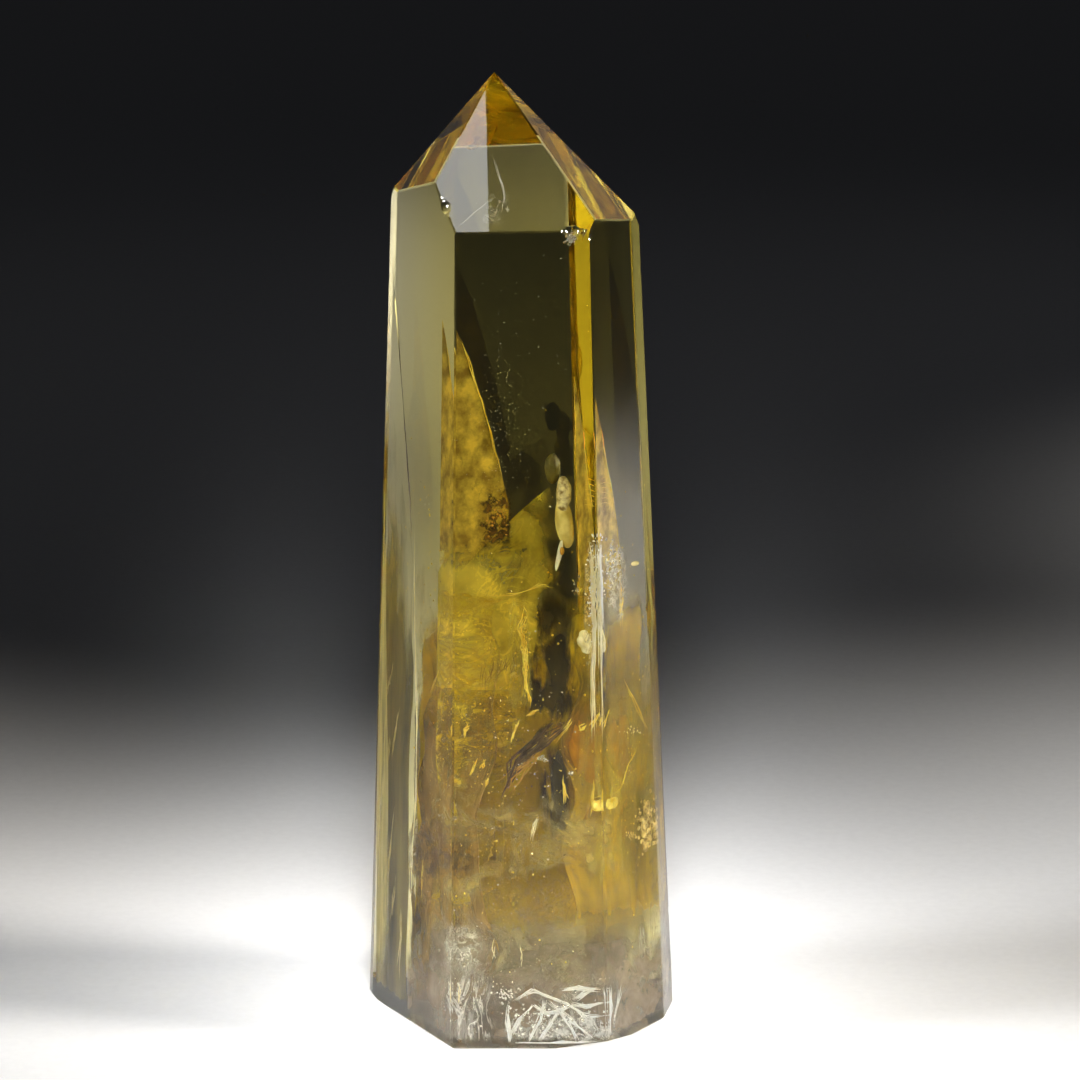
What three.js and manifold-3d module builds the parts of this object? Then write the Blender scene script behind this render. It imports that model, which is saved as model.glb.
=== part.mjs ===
// A clear golden quartz point, ground to a tapering tower that stands on its flat foot.
// Millimetres and degrees, +Z up, -Y is the broad front face, the origin is in the middle of the foot.
import * as THREE from "three";
import { mergeVertices } from "three/addons/utils/BufferGeometryUtils.js";
import Module from "manifold-3d";

const wasm = await Module();
wasm.setup();

// Driving sizes
const HEIGHT = 90.7;
const TIP = new THREE.Vector3(-2.4, 2.15, HEIGHT);
const ROUGH_WIDTH = 40;
const EDGE_WIDTH = 0.22;
const FOOT_EDGE_WIDTH = 0.35;

// The side flats in order round the tower. A flat faces its azimuth, counted from +X towards +Y, and its
// lean says how far it looks up. Distance is how far the origin lies behind it. Above names the point flats
// that it meets at the shoulder.
const SIDE_FLATS = {
  front: { azimuth: -90, lean: 1.5, distance: 12.2, above: ["pointFront"] },
  leftFront: { azimuth: -152, lean: 1.1, distance: 11.45, above: ["pointFront", "pointLeft"] },
  leftCorner: { azimuth: -167, lean: 1.6, distance: 13.25, above: ["pointLeft", "pointLeftBack"] },
  leftBack: { azimuth: 147, lean: 2.3, distance: 14.95, above: ["pointLeftBack"] },
  back: { azimuth: 90, lean: 3, distance: 12.2, above: ["pointBack"] },
  rightBack: { azimuth: 37.6, lean: 3, distance: 12.5, above: ["pointRightBack"] },
  rightCorner: { azimuth: -11, lean: 2.4, distance: 14.15, above: ["pointRight", "pointRightBack"] },
  rightFront: { azimuth: -32.4, lean: 1.9, distance: 13.5, above: ["pointFront", "pointRight"] },
};

// The six flats of the point, in order round it, which all meet in the tip
const POINT_FLATS = {
  pointFront: { azimuth: -91, lean: 43.8 },
  pointLeft: { azimuth: -164.9, lean: 40 },
  pointLeftBack: { azimuth: 151.7, lean: 37.1 },
  pointBack: { azimuth: 91.3, lean: 28.5 },
  pointRightBack: { azimuth: 23.4, lean: 39.2 },
  pointRight: { azimuth: -22.6, lean: 47.9 },
};

const FOOT = { azimuth: 0, lean: -90, distance: 0 };

// A second, shallow grinding on the left-front face. It ends upwards in a slanting ledge.
const WEDGE_FLAT = { azimuth: -154.5, lean: 1.1, distance: 11.5 };
const WEDGE_LEDGE = { azimuth: -61.8, lean: 11.7, distance: 8.25 };

// The worn corner between the front face, the right-front face and the foot
const WORN_CORNER = { azimuth: -60, lean: -73, distance: 3.5 };

// Shell-shaped bites out of the edges: the two flats of the edge, a point near the place, the radius of the
// bite's hollow and how deep it goes in from the edge
const CHIPS = [
  { edge: ["leftFront", "pointFront"], near: [-7, -8, 81.1], radius: 0.9, depth: 0.16 },
  { edge: ["leftFront", "pointFront"], near: [-7, -8, 80.5], radius: 0.8, depth: 0.28 },
  { edge: ["leftFront", "pointFront"], near: [-7, -8, 79.7], radius: 1.2, depth: 0.45 },
  { edge: ["leftFront", "pointFront"], near: [-7, -8, 78.7], radius: 0.8, depth: 0.2 },
  { edge: ["front", "pointFront"], near: [4.2, -10.2, 78], radius: 0.6, depth: 0.2 },
  { edge: ["front", "pointFront"], near: [4.8, -10.2, 78], radius: 0.9, depth: 0.5 },
  { edge: ["front", "pointFront"], near: [5.6, -10.2, 78], radius: 0.6, depth: 0.22 },
  { edge: ["front", "rightFront"], near: [6.4, -10.2, 77.4], radius: 0.8, depth: 0.14 },
  { edge: ["leftCorner", "leftBack"], near: [-12.5, 3, 71.2], radius: 0.7, depth: 0.18 },
  { edge: ["rightCorner", "rightBack"], near: [11.3, 0, 72.6], radius: 0.8, depth: 0.2 },
  { edge: ["rightCorner", "rightBack"], near: [14.3, 1.4, 9.5], radius: 0.9, depth: 0.2 },
  { edge: ["leftFront", "foot"], near: [-10.6, -4.4, 0], radius: 0.9, depth: 0.35 },
  { edge: ["leftBack", "foot"], near: [-12.2, 8.8, 0], radius: 1.2, depth: 0.3 },
  { edge: ["back", "rightBack"], near: [5.6, 10, 38], radius: 1, depth: 0.16 },
  { edge: ["back", "foot"], near: [1.5, 12.2, 0], radius: 1.1, depth: 0.3 },
  { edge: ["back", "pointBack"], near: [-4.5, 8, 80], radius: 0.8, depth: 0.18 },
];
const CHIP_DETAIL = 3;

const CITRINE_COLOUR = 0xb8963a;
const POLISHED = 0.05;

// The way a flat faces, as a unit vector
function facing({ azimuth, lean }) {
  const turn = THREE.MathUtils.degToRad(azimuth);
  const tilt = THREE.MathUtils.degToRad(lean);
  return new THREE.Vector3(
    Math.cos(turn) * Math.cos(tilt),
    Math.sin(turn) * Math.cos(tilt),
    Math.sin(tilt),
  );
}

// A flat as a plane: its unit normal and its distance from the origin
function planeOf(flat) {
  const normal = facing(flat);
  const distance = flat.distance ?? normal.dot(TIP);
  return { normal, distance };
}

// Every named flat as a plane
function allPlanes() {
  const flats = { ...SIDE_FLATS, ...POINT_FLATS, foot: FOOT };
  return Object.fromEntries(Object.entries(flats).map(([name, flat]) => [name, planeOf(flat)]));
}

// A closed solid from a three.js geometry
function solidOf(geometry) {
  const bare = geometry.clone();
  bare.deleteAttribute("normal");
  bare.deleteAttribute("uv");
  const merged = mergeVertices(bare);
  return new wasm.Manifold(
    new wasm.Mesh({
      numProp: 3,
      vertProperties: merged.attributes.position.array,
      triVerts: new Uint32Array(merged.index.array),
    }),
  );
}

// All that lies in front of a plane, as a block large enough to cut the whole tower
function stockBeyond({ normal, distance }) {
  const size = 3 * HEIGHT;
  const block = new THREE.BoxGeometry(size, size, size);
  const up = new THREE.Vector3(0, 0, 1);
  block.translate(0, 0, distance + size / 2);
  block.applyQuaternion(new THREE.Quaternion().setFromUnitVectors(up, normal));
  return solidOf(block);
}

// The narrow flat that breaks the edge between two planes
function edgePlane(a, b, width) {
  const sum = a.normal.clone().add(b.normal);
  const bend = a.normal.angleTo(b.normal);
  const depth = (width / 2) * Math.tan(bend / 2);
  return {
    normal: sum.clone().normalize(),
    distance: (a.distance + b.distance) / sum.length() - depth,
  };
}

// The point of the edge between two planes that is nearest to a guide point
function edgePoint(a, b, near) {
  const point = new THREE.Vector3(...near);
  const cosine = a.normal.dot(b.normal);
  const overA = a.normal.dot(point) - a.distance;
  const overB = b.normal.dot(point) - b.distance;
  const scale = 1 / (1 - cosine * cosine);
  point.addScaledVector(a.normal, scale * (cosine * overB - overA));
  return point.addScaledVector(b.normal, scale * (cosine * overA - overB));
}

// The hollow of one chip, as a ball that stands out of the edge and bites into it
function chipBall(planes, { edge, near, radius, depth }) {
  const [a, b] = edge.map((name) => planes[name]);
  const outward = a.normal.clone().add(b.normal).normalize();
  const centre = edgePoint(a, b, near).addScaledVector(outward, radius - depth);
  const ball = new THREE.IcosahedronGeometry(radius, CHIP_DETAIL);
  ball.translate(centre.x, centre.y, centre.z);
  return solidOf(ball);
}

// Neighbours in a closed ring of names
function ringPairs(ring) {
  return ring.map((name, i) => [name, ring[(i + 1) % ring.length]]);
}

// The pairs of flats that meet in an edge above the foot
function edgePairs() {
  const shoulder = Object.entries(SIDE_FLATS).flatMap(([side, flat]) =>
    flat.above.map((point) => [side, point]),
  );
  return [
    ...ringPairs(Object.keys(SIDE_FLATS)),
    ...ringPairs(Object.keys(POINT_FLATS)),
    ...shoulder,
  ];
}

// The rough block, standing on the foot
function roughBlock() {
  const block = new THREE.BoxGeometry(ROUGH_WIDTH, ROUGH_WIDTH, HEIGHT);
  block.translate(0, 0, HEIGHT / 2);
  return solidOf(block);
}

// The tower with its side flats and its point
function groundTower(planes) {
  const flats = [...Object.keys(SIDE_FLATS), ...Object.keys(POINT_FLATS)];
  return flats.reduce((solid, name) => solid.subtract(stockBeyond(planes[name])), roughBlock());
}

// The shallow second grinding on the left-front face, below its ledge
function withWedge(solid) {
  const ledge = planeOf(WEDGE_LEDGE);
  const below = { normal: ledge.normal.clone().negate(), distance: -ledge.distance };
  return solid.subtract(stockBeyond(planeOf(WEDGE_FLAT)).intersect(stockBeyond(below)));
}

// Every edge broken by a narrow flat, a little wider round the foot
function withBrokenEdges(solid, planes) {
  const upper = edgePairs().map(([a, b]) => edgePlane(planes[a], planes[b], EDGE_WIDTH));
  const lower = Object.keys(SIDE_FLATS).map((side) =>
    edgePlane(planes[side], planes.foot, FOOT_EDGE_WIDTH),
  );
  return [...upper, ...lower].reduce((cut, plane) => cut.subtract(stockBeyond(plane)), solid);
}

// Wear: the corner rubbed off at the foot, and the chips
function withWear(solid, planes) {
  const rubbed = solid.subtract(stockBeyond(planeOf(WORN_CORNER)));
  return CHIPS.reduce((cut, chip) => cut.subtract(chipBall(planes, chip)), rubbed);
}

// A named mesh from a finished solid
function meshOf(name, solid) {
  const { vertProperties, triVerts } = solid.getMesh();
  const geometry = new THREE.BufferGeometry();
  geometry.setAttribute("position", new THREE.Float32BufferAttribute(vertProperties, 3));
  geometry.setIndex(Array.from(triVerts));
  const flatShaded = geometry.toNonIndexed();
  flatShaded.computeVertexNormals();
  const material = new THREE.MeshStandardMaterial({
    color: CITRINE_COLOUR,
    roughness: POLISHED,
    metalness: 0,
  });
  const mesh = new THREE.Mesh(flatShaded, material);
  mesh.name = name;
  return mesh;
}

// The whole crystal, one solid
function citrinePoint() {
  const planes = allPlanes();
  const tower = withBrokenEdges(withWedge(groundTower(planes)), planes);
  return meshOf("citrine_point", withWear(tower, planes));
}

const part = new THREE.Group();
part.add(citrinePoint());

export default part;
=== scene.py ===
"""A clear golden citrine point, dressed with the veils, needles and milky foot that grew inside it, and
with sheets of painted shade and painted reflection among them.

Metres, +Z up, -Y out of the broad front face, the origin in the middle of the flat foot.
"""

import logging
import math
import random
from dataclasses import dataclass, replace
from enum import Enum
from typing import ClassVar, NamedTuple, Sequence

import bmesh
import bpy
from bmesh.types import BMesh
from bpy.types import Material, Node, NodeSocket, Object
from mathutils import Matrix, Vector, noise
from mathutils.bvhtree import BVHTree


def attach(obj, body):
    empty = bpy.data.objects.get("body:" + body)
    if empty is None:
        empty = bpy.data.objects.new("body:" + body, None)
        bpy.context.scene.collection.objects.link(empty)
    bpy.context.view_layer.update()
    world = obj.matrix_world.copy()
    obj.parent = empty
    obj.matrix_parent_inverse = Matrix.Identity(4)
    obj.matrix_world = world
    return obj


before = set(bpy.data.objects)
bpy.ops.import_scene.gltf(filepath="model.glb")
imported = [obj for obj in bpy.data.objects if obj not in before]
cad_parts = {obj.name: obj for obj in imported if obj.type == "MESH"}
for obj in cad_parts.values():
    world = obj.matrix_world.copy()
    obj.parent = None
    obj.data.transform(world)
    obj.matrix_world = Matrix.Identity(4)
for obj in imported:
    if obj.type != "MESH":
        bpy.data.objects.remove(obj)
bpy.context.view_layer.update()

log = logging.getLogger("citrine")

MM = 0.001
BODY = "root"
NODE = "citrine_point"
QUARTZ_IOR = 1.55
NOISE_SEED = 7

Colour = tuple[float, float, float]


class Seen(NamedTuple):
    """A place inside the crystal: the pixel that it shows at, and its depth behind that face in mm."""

    x: float
    y: float
    depth: float


class Stop(NamedTuple):
    """One stop of a colour ramp."""

    place: float
    colour: Colour


class Shine(Enum):
    """How the surface of a grown-in mineral takes the light."""

    EARTHY = (0.75, 0.0)
    WAXY = (0.4, 0.0)
    SILVERY = (0.22, 0.85)


@dataclass(frozen=True)
class PhotoCamera:
    """The photograph's viewpoint, and the way from one of its pixels into the scene."""

    place: tuple[float, float, float] = (0.00186, -0.5036, 0.172)
    tilt: float = math.radians(76)
    focal_px: float = 5500.0
    image_px: float = 1080.0
    sensor_mm: float = 36.0
    far: float = 20.0

    def build(self) -> Object:
        """Make the camera and give it to the scene.

        Returns:
            The camera object.
        """
        data = bpy.data.cameras.new("camera")
        data.sensor_width = self.sensor_mm
        data.lens = self.sensor_mm * self.focal_px / self.image_px
        data.clip_end = self.far
        camera = bpy.data.objects.new("camera", data)
        bpy.context.scene.collection.objects.link(camera)
        camera.location = self.place
        camera.rotation_euler = (self.tilt, 0, 0)
        bpy.context.scene.camera = camera
        return camera

    def sight(self, x: float, y: float) -> Vector:
        """The direction that a pixel looks in.

        Args:
            x: pixels from the left edge of the frame.
            y: pixels from the top edge of the frame.

        Returns:
            A unit vector.
        """
        middle = self.image_px / 2
        local = Vector((x - middle, middle - y, -self.focal_px))
        return (Matrix.Rotation(self.tilt, 3, "X") @ local).normalized()


class Flat(NamedTuple):
    """A ground flat of the crystal: its outward normal, and its distance from the origin."""

    normal: Vector
    distance: float


class Crystal:
    """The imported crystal, as the things inside it need to know it."""

    LEAST_FLAT = 20 * MM * MM
    TOUCHING = MM * MM

    def __init__(self, node: Object, camera: PhotoCamera) -> None:
        """Read the node's flats.

        Args:
            node: the CAD node, whose mesh is left alone.
            camera: where the pixels are seen from.
        """
        merged = bmesh.new()
        merged.from_mesh(node.data)
        bmesh.ops.remove_doubles(merged, verts=merged.verts, dist=self.TOUCHING)
        self.node = node
        self.camera = camera
        self.tree = BVHTree.FromBMesh(merged)
        self.flats = self._flats_of(merged)
        merged.free()

    def _flats_of(self, solid: BMesh) -> list[Flat]:
        """Gather the solid's triangles into its larger flats.

        Args:
            solid: the merged copy of the node.

        Returns:
            Every flat that is wider than a broken edge.
        """
        areas: dict[tuple[float, ...], float] = {}
        found: dict[tuple[float, ...], Flat] = {}
        for face in solid.faces:
            key = tuple(round(value, 2) for value in face.normal)
            areas[key] = areas.get(key, 0.0) + face.calc_area()
            found[key] = Flat(face.normal.copy(), face.normal.dot(face.verts[0].co))
        return [found[key] for key, area in areas.items() if area > self.LEAST_FLAT]

    def flat_at(self, x: float, y: float) -> Flat:
        """The flat that a pixel shows.

        Args:
            x: pixels from the left edge of the frame.
            y: pixels from the top edge of the frame.

        Returns:
            The flat whose normal is nearest to the surface's there.
        """
        hit = self.tree.ray_cast(Vector(self.camera.place), self.camera.sight(x, y))
        return min(self.flats, key=lambda flat: (flat.normal - hit[1]).length)

    def place(self, seen: Seen, flat: Flat) -> Vector:
        """Follow a pixel's sight through a flat, bent as quartz bends it.

        Args:
            seen: the pixel and the depth.
            flat: the flat that it is seen through.

        Returns:
            The point in metres.
        """
        eye = Vector(self.camera.place)
        sight = self.camera.sight(seen.x, seen.y)
        reach = (flat.distance - flat.normal.dot(eye)) / flat.normal.dot(sight)
        ratio = 1 / QUARTZ_IOR
        cosine = -flat.normal.dot(sight)
        bend = ratio * cosine - math.sqrt(1 - ratio * ratio * (1 - cosine * cosine))
        inner = ratio * sight + bend * flat.normal
        depth = seen.depth * MM / -inner.dot(flat.normal)
        return eye + reach * sight + depth * inner

    def room(self, point: Vector) -> float:
        """How far a point lies inside the nearest flat, in metres."""
        return min(flat.distance - flat.normal.dot(point) for flat in self.flats)

    def held(self, point: Vector, margin: float) -> Vector:
        """Move a point inwards where it comes too near to a flat.

        Args:
            point: the point in metres.
            margin: the least distance to any flat, in metres.

        Returns:
            The point, moved if it had to be.
        """
        kept = point.copy()
        for flat in self.flats:
            excess = flat.normal.dot(kept) - flat.distance + margin
            if excess > 0:
                kept -= excess * flat.normal
        return kept

    def clip(self, bm: BMesh, margin: float) -> None:
        """Cut off what reaches out of the crystal.

        Args:
            bm: an open sheet.
            margin: how far inside each flat the cut lies, in metres.
        """
        for flat in self.flats:
            bmesh.ops.bisect_plane(
                bm,
                geom=[*bm.verts, *bm.edges, *bm.faces],
                dist=self.TOUCHING,
                plane_co=(flat.distance - margin) * flat.normal,
                plane_no=flat.normal,
                clear_outer=True,
            )


class Graph:
    """A material's nodes, with short ways to add them and join them."""

    NOISE_ROUGHNESS = 0.6

    def __init__(self, name: str) -> None:
        """Start a material with its one Principled shader.

        Args:
            name: the material's name.
        """
        self.material = bpy.data.materials.new(name)
        self.material.use_nodes = True
        self.tree = self.material.node_tree
        self.principled = self.tree.nodes["Principled BSDF"]
        self.output = self.tree.nodes["Material Output"]
        self.coords = self.add("ShaderNodeTexCoord").outputs["Object"]

    def add(self, kind: str) -> Node:
        """Add a node of that kind."""
        return self.tree.nodes.new(kind)

    def join(self, source: NodeSocket, target: NodeSocket) -> None:
        """Link one socket to another."""
        self.tree.links.new(source, target)

    def stretched(self, scale: Sequence[float], turn: Sequence[float] = (0, 0, 0)) -> NodeSocket:
        """Object coordinates, turned and then stretched.

        Args:
            scale: the scale along each axis.
            turn: the turn about each axis, in degrees.

        Returns:
            The vector socket.
        """
        mapping = self.add("ShaderNodeMapping")
        mapping.inputs["Scale"].default_value = scale
        mapping.inputs["Rotation"].default_value = [math.radians(angle) for angle in turn]
        self.join(self.coords, mapping.inputs["Vector"])
        return mapping.outputs["Vector"]

    def noise(self, vector: NodeSocket, scale: float, detail: float, swirl: float = 0.0) -> NodeSocket:
        """A noise pattern.

        Args:
            vector: the coordinates.
            scale: how many features there are in a metre.
            detail: how many finer layers lie on it.
            swirl: how strongly it is distorted.

        Returns:
            The value socket.
        """
        node = self.add("ShaderNodeTexNoise")
        node.inputs["Scale"].default_value = scale
        node.inputs["Detail"].default_value = detail
        node.inputs["Roughness"].default_value = self.NOISE_ROUGHNESS
        node.inputs["Distortion"].default_value = swirl
        self.join(vector, node.inputs["Vector"])
        return node.outputs["Fac"]

    def spots(self, vector: NodeSocket, scale: float) -> NodeSocket:
        """The distance to the nearest of many scattered points.

        Args:
            vector: the coordinates.
            scale: how many points there are along a metre.

        Returns:
            The distance socket.
        """
        node = self.add("ShaderNodeTexVoronoi")
        node.inputs["Scale"].default_value = scale
        self.join(vector, node.inputs["Vector"])
        return node.outputs["Distance"]

    def filaments(self, vector: NodeSocket, scale: float, width: float) -> NodeSocket:
        """Fine lines that wind all through space.

        Args:
            vector: the coordinates.
            scale: how many windings there are in a metre.
            width: how broad a line is, as a share of the pattern's height.

        Returns:
            The value socket: 1 on a line, 0 away from it.
        """
        winding = self.noise(vector, scale, 4, 1.2)
        away = self.combine("ABSOLUTE", self.combine("SUBTRACT", winding, 0.5, False), 0.0)
        return self.spread(away, 0.0, width, 1.0, 0.0)

    def ramp(self, value: NodeSocket, stops: Sequence[Stop]) -> NodeSocket:
        """A colour ramp.

        Args:
            value: what drives it.
            stops: at least two stops.

        Returns:
            The colour socket.
        """
        node = self.add("ShaderNodeValToRGB")
        elements = node.color_ramp.elements
        while len(elements) < len(stops):
            elements.new(0.5)
        for element, stop in zip(elements, stops):
            element.position = stop.place
            element.color = (*stop.colour, 1)
        self.join(value, node.inputs["Fac"])
        return node.outputs["Color"]

    def spread(self, value: NodeSocket, low: float, high: float, start: float, end: float) -> NodeSocket:
        """A value mapped smoothly from one range to another, and held at its ends.

        Args:
            value: what is mapped.
            low: the value that gives start.
            high: the value that gives end.
            start: the result at low.
            end: the result at high.

        Returns:
            The value socket.
        """
        node = self.add("ShaderNodeMapRange")
        node.interpolation_type = "SMOOTHSTEP"
        for name, number in zip(("From Min", "From Max", "To Min", "To Max"), (low, high, start, end)):
            node.inputs[name].default_value = number
        self.join(value, node.inputs["Value"])
        return node.outputs["Result"]

    def combine(
        self, kind: str, first: NodeSocket, second: NodeSocket | float, held: bool = True,
    ) -> NodeSocket:
        """Two values joined by a kind of arithmetic.

        Args:
            kind: the Math node's operation.
            first: the first value.
            second: the second value, or a plain number.
            held: whether the result stays between 0 and 1.

        Returns:
            The value socket.
        """
        node = self.add("ShaderNodeMath")
        node.operation = kind
        node.use_clamp = held
        self.join(first, node.inputs[0])
        if isinstance(second, NodeSocket):
            self.join(second, node.inputs[1])
        else:
            node.inputs[1].default_value = second
        return node.outputs[0]

    def bump(self, height: NodeSocket, strength: float, depth: float) -> None:
        """Raise and sink the surface by a pattern.

        Args:
            height: the pattern.
            strength: how much of the slope shows.
            depth: the height of the pattern, in metres.
        """
        node = self.add("ShaderNodeBump")
        node.inputs["Strength"].default_value = strength
        node.inputs["Distance"].default_value = depth
        self.join(height, node.inputs["Height"])
        self.join(node.outputs["Normal"], self.principled.inputs["Normal"])

    def see_through(self, cover: NodeSocket, colour: NodeSocket, lit_through: float) -> None:
        """Let the light through a thin sheet, and leave it out where it has no cover.

        Args:
            cover: how solid the sheet is.
            colour: the sheet's colour.
            lit_through: the share of its light that comes from behind.
        """
        behind = self.add("ShaderNodeBsdfTranslucent")
        self.join(colour, behind.inputs["Color"])
        body = self.add("ShaderNodeMixShader")
        body.inputs["Fac"].default_value = lit_through
        self.join(self.principled.outputs["BSDF"], body.inputs[1])
        self.join(behind.outputs["BSDF"], body.inputs[2])
        clear = self.add("ShaderNodeBsdfTransparent")
        whole = self.add("ShaderNodeMixShader")
        self.join(cover, whole.inputs["Fac"])
        self.join(clear.outputs["BSDF"], whole.inputs[1])
        self.join(body.outputs["Shader"], whole.inputs[2])
        self.join(whole.outputs["Shader"], self.output.inputs["Surface"])


@dataclass(frozen=True)
class QuartzFinish:
    """Clear golden quartz: polished flats with fine rubbing marks, and a ground foot."""

    absorb: Colour = (0.957, 0.877, 0.13)
    density: float = 60.0
    polish: float = 0.0
    rubbed: float = 0.05
    ground: float = 0.02
    ground_height: float = 0.25 * MM
    zones_per_m: float = 60.0
    marks_per_m: float = 2600.0
    marks_lean: float = 14.0
    waves_per_m: float = 110.0
    wave_height: float = 0.05 * MM
    wave_strength: float = 0.012

    def build(self) -> Material:
        """Make the material.

        Returns:
            The material, clear by transmission and absorption.
        """
        graph = Graph("polished_citrine")
        shader = graph.principled.inputs
        shader["IOR"].default_value = QUARTZ_IOR
        shader["Transmission Weight"].default_value = 1.0
        zones = graph.noise(graph.stretched((1, 1, 0.3)), self.zones_per_m, 3)
        tints = (Stop(0.3, (1.0, 0.985, 0.93)), Stop(0.7, (1.0, 1.0, 1.0)))
        graph.join(graph.ramp(zones, tints), shader["Base Color"])
        scratched = graph.stretched((1, 1, 0.08), (0, self.marks_lean, 0))
        marks = graph.noise(scratched, self.marks_per_m, 4)
        rubbing = graph.spread(marks, 0.66, 0.8, self.polish, self.rubbed)
        height = graph.add("ShaderNodeSeparateXYZ")
        graph.join(graph.coords, height.inputs[0])
        edge = self.ground_height
        grinding = graph.spread(height.outputs["Z"], edge, 0.4 * edge, 0.0, self.ground)
        graph.join(graph.combine("MAXIMUM", rubbing, grinding), shader["Roughness"])
        waves = graph.noise(graph.coords, self.waves_per_m, 2)
        graph.bump(waves, self.wave_strength, self.wave_height)
        volume = graph.add("ShaderNodeVolumeAbsorption")
        volume.inputs["Color"].default_value = (*self.absorb, 1)
        volume.inputs["Density"].default_value = self.density
        graph.join(volume.outputs["Volume"], graph.output.inputs["Volume"])
        return graph.material


@dataclass(frozen=True)
class VeilFinish:
    """A cloud of tiny inclusions in one plane: thin and thick parts, wisps and pinpoints. A few of these
    finishes are painted shade and painted reflection instead.

    The cloud is as solid as cover where its noise is above most, and gone where it is below least.
    """

    POINTS_PER_M: ClassVar[float] = 2300.0
    POINT_CORE: ClassVar[float] = 0.1
    POINT_RIM: ClassVar[float] = 0.22
    WISP_WIDTH: ClassVar[float] = 0.03
    LUMP_HEIGHT: ClassVar[float] = 0.2 * MM

    name: str
    thin: Colour
    thick: Colour
    cover: float
    least: float = 0.35
    most: float = 0.65
    grain: float = 420.0
    stretch: tuple[float, float, float] = (1.0, 1.0, 1.0)
    turn: tuple[float, float, float] = (0.0, 0.0, 0.0)
    pinpoints: float = 0.0
    wisps: float = 0.0
    lit_through: float = 0.5
    roughness: float = 0.6

    def build(self) -> Material:
        """Make the material. The mesh's own attribute "fade" thins it towards its borders.

        Returns:
            The material.
        """
        graph = Graph(self.name)
        vector = graph.stretched(self.stretch, self.turn)
        clouds = graph.noise(vector, self.grain, 5, 0.6)
        depths = graph.noise(vector, self.grain * 0.6, 4)
        tint = graph.ramp(depths, (Stop(0.35, self.thin), Stop(0.65, self.thick)))
        graph.join(tint, graph.principled.inputs["Base Color"])
        graph.principled.inputs["Roughness"].default_value = self.roughness
        fade = graph.add("ShaderNodeAttribute")
        fade.attribute_name = "fade"
        inside = fade.outputs["Fac"]
        cover = graph.spread(clouds, self.least, self.most, 0.0, 1.0)
        border = graph.spread(graph.combine("ADD", inside, clouds, False), 0.5, 1.3, 0.0, 1.0)
        solid = graph.combine("MULTIPLY", graph.combine("MULTIPLY", cover, border), self.cover)
        if self.wisps > 0:
            lines = graph.filaments(vector, self.grain * 0.8, self.WISP_WIDTH)
            strokes = graph.combine("MULTIPLY", graph.combine("MULTIPLY", lines, inside), self.wisps)
            solid = graph.combine("ADD", solid, strokes)
        if self.pinpoints > 0:
            away = graph.spots(graph.coords, self.POINTS_PER_M)
            dots = graph.spread(away, self.POINT_CORE, self.POINT_RIM, self.pinpoints, 0.0)
            solid = graph.combine("ADD", solid, graph.combine("MULTIPLY", dots, inside))
        graph.bump(clouds, 0.6, self.LUMP_HEIGHT)
        graph.see_through(solid, tint, self.lit_through)
        return graph.material


@dataclass(frozen=True)
class GrainFinish:
    """A solid grown-in mineral or the broken wall of a crack; two finishes are the painted shade of an
    edge and a painted iridescent reflection instead.
    """

    PIT_DEPTH: ClassVar[float] = 0.1 * MM

    name: str
    low: Colour
    high: Colour
    shine: Shine = Shine.EARTHY
    grain: float = 900.0

    def build(self) -> Material:
        """Make the material.

        Returns:
            The material.
        """
        graph = Graph(self.name)
        roughness, metallic = self.shine.value
        mottle = graph.noise(graph.coords, self.grain, 3)
        tint = graph.ramp(mottle, (Stop(0.35, self.low), Stop(0.62, self.high)))
        graph.join(tint, graph.principled.inputs["Base Color"])
        graph.principled.inputs["Metallic"].default_value = metallic
        gloss = graph.spread(mottle, 0.3, 0.7, roughness, roughness * 0.6)
        graph.join(gloss, graph.principled.inputs["Roughness"])
        graph.bump(mottle, 0.5, self.PIT_DEPTH)
        return graph.material


class Finishes:
    """The finishes in use, each made once."""

    def __init__(self) -> None:
        """Start with none."""
        self.made: dict[str, Material] = {}

    def of(self, finish: VeilFinish | GrainFinish) -> Material:
        """The material of a finish.

        Args:
            finish: the finish, known by its name.

        Returns:
            The material, made at the first call.
        """
        if finish.name not in self.made:
            self.made[finish.name] = finish.build()
        return self.made[finish.name]


# The stretch of a veil whose streaks run up the stone.
UPRIGHT = (1.0, 1.0, 0.22)

FOG_GOLD = VeilFinish(
    "fog_gold", (0.48, 0.36, 0.01), (0.9, 0.73, 0.03), cover=0.97, least=0.0, most=0.3, grain=170,
)
GOLD_VEIL = VeilFinish(
    "gold_veil", (0.7, 0.52, 0.03), (1.0, 0.86, 0.16), cover=0.42, least=0.32, most=0.74, grain=300,
    pinpoints=0.4, wisps=0.12,
)
AMBER_VEIL = VeilFinish(
    "amber_veil", (0.4, 0.2, 0.003), (0.85, 0.48, 0.006), cover=0.7, least=0.25, most=0.62, grain=300,
    stretch=UPRIGHT, wisps=0.3,
)
OLIVE_VEIL = VeilFinish(
    "olive_veil", (0.42, 0.34, 0.02), (0.95, 0.82, 0.16), cover=0.85, least=0.12, most=0.6, grain=260,
    pinpoints=0.2, wisps=0.3,
)
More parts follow.
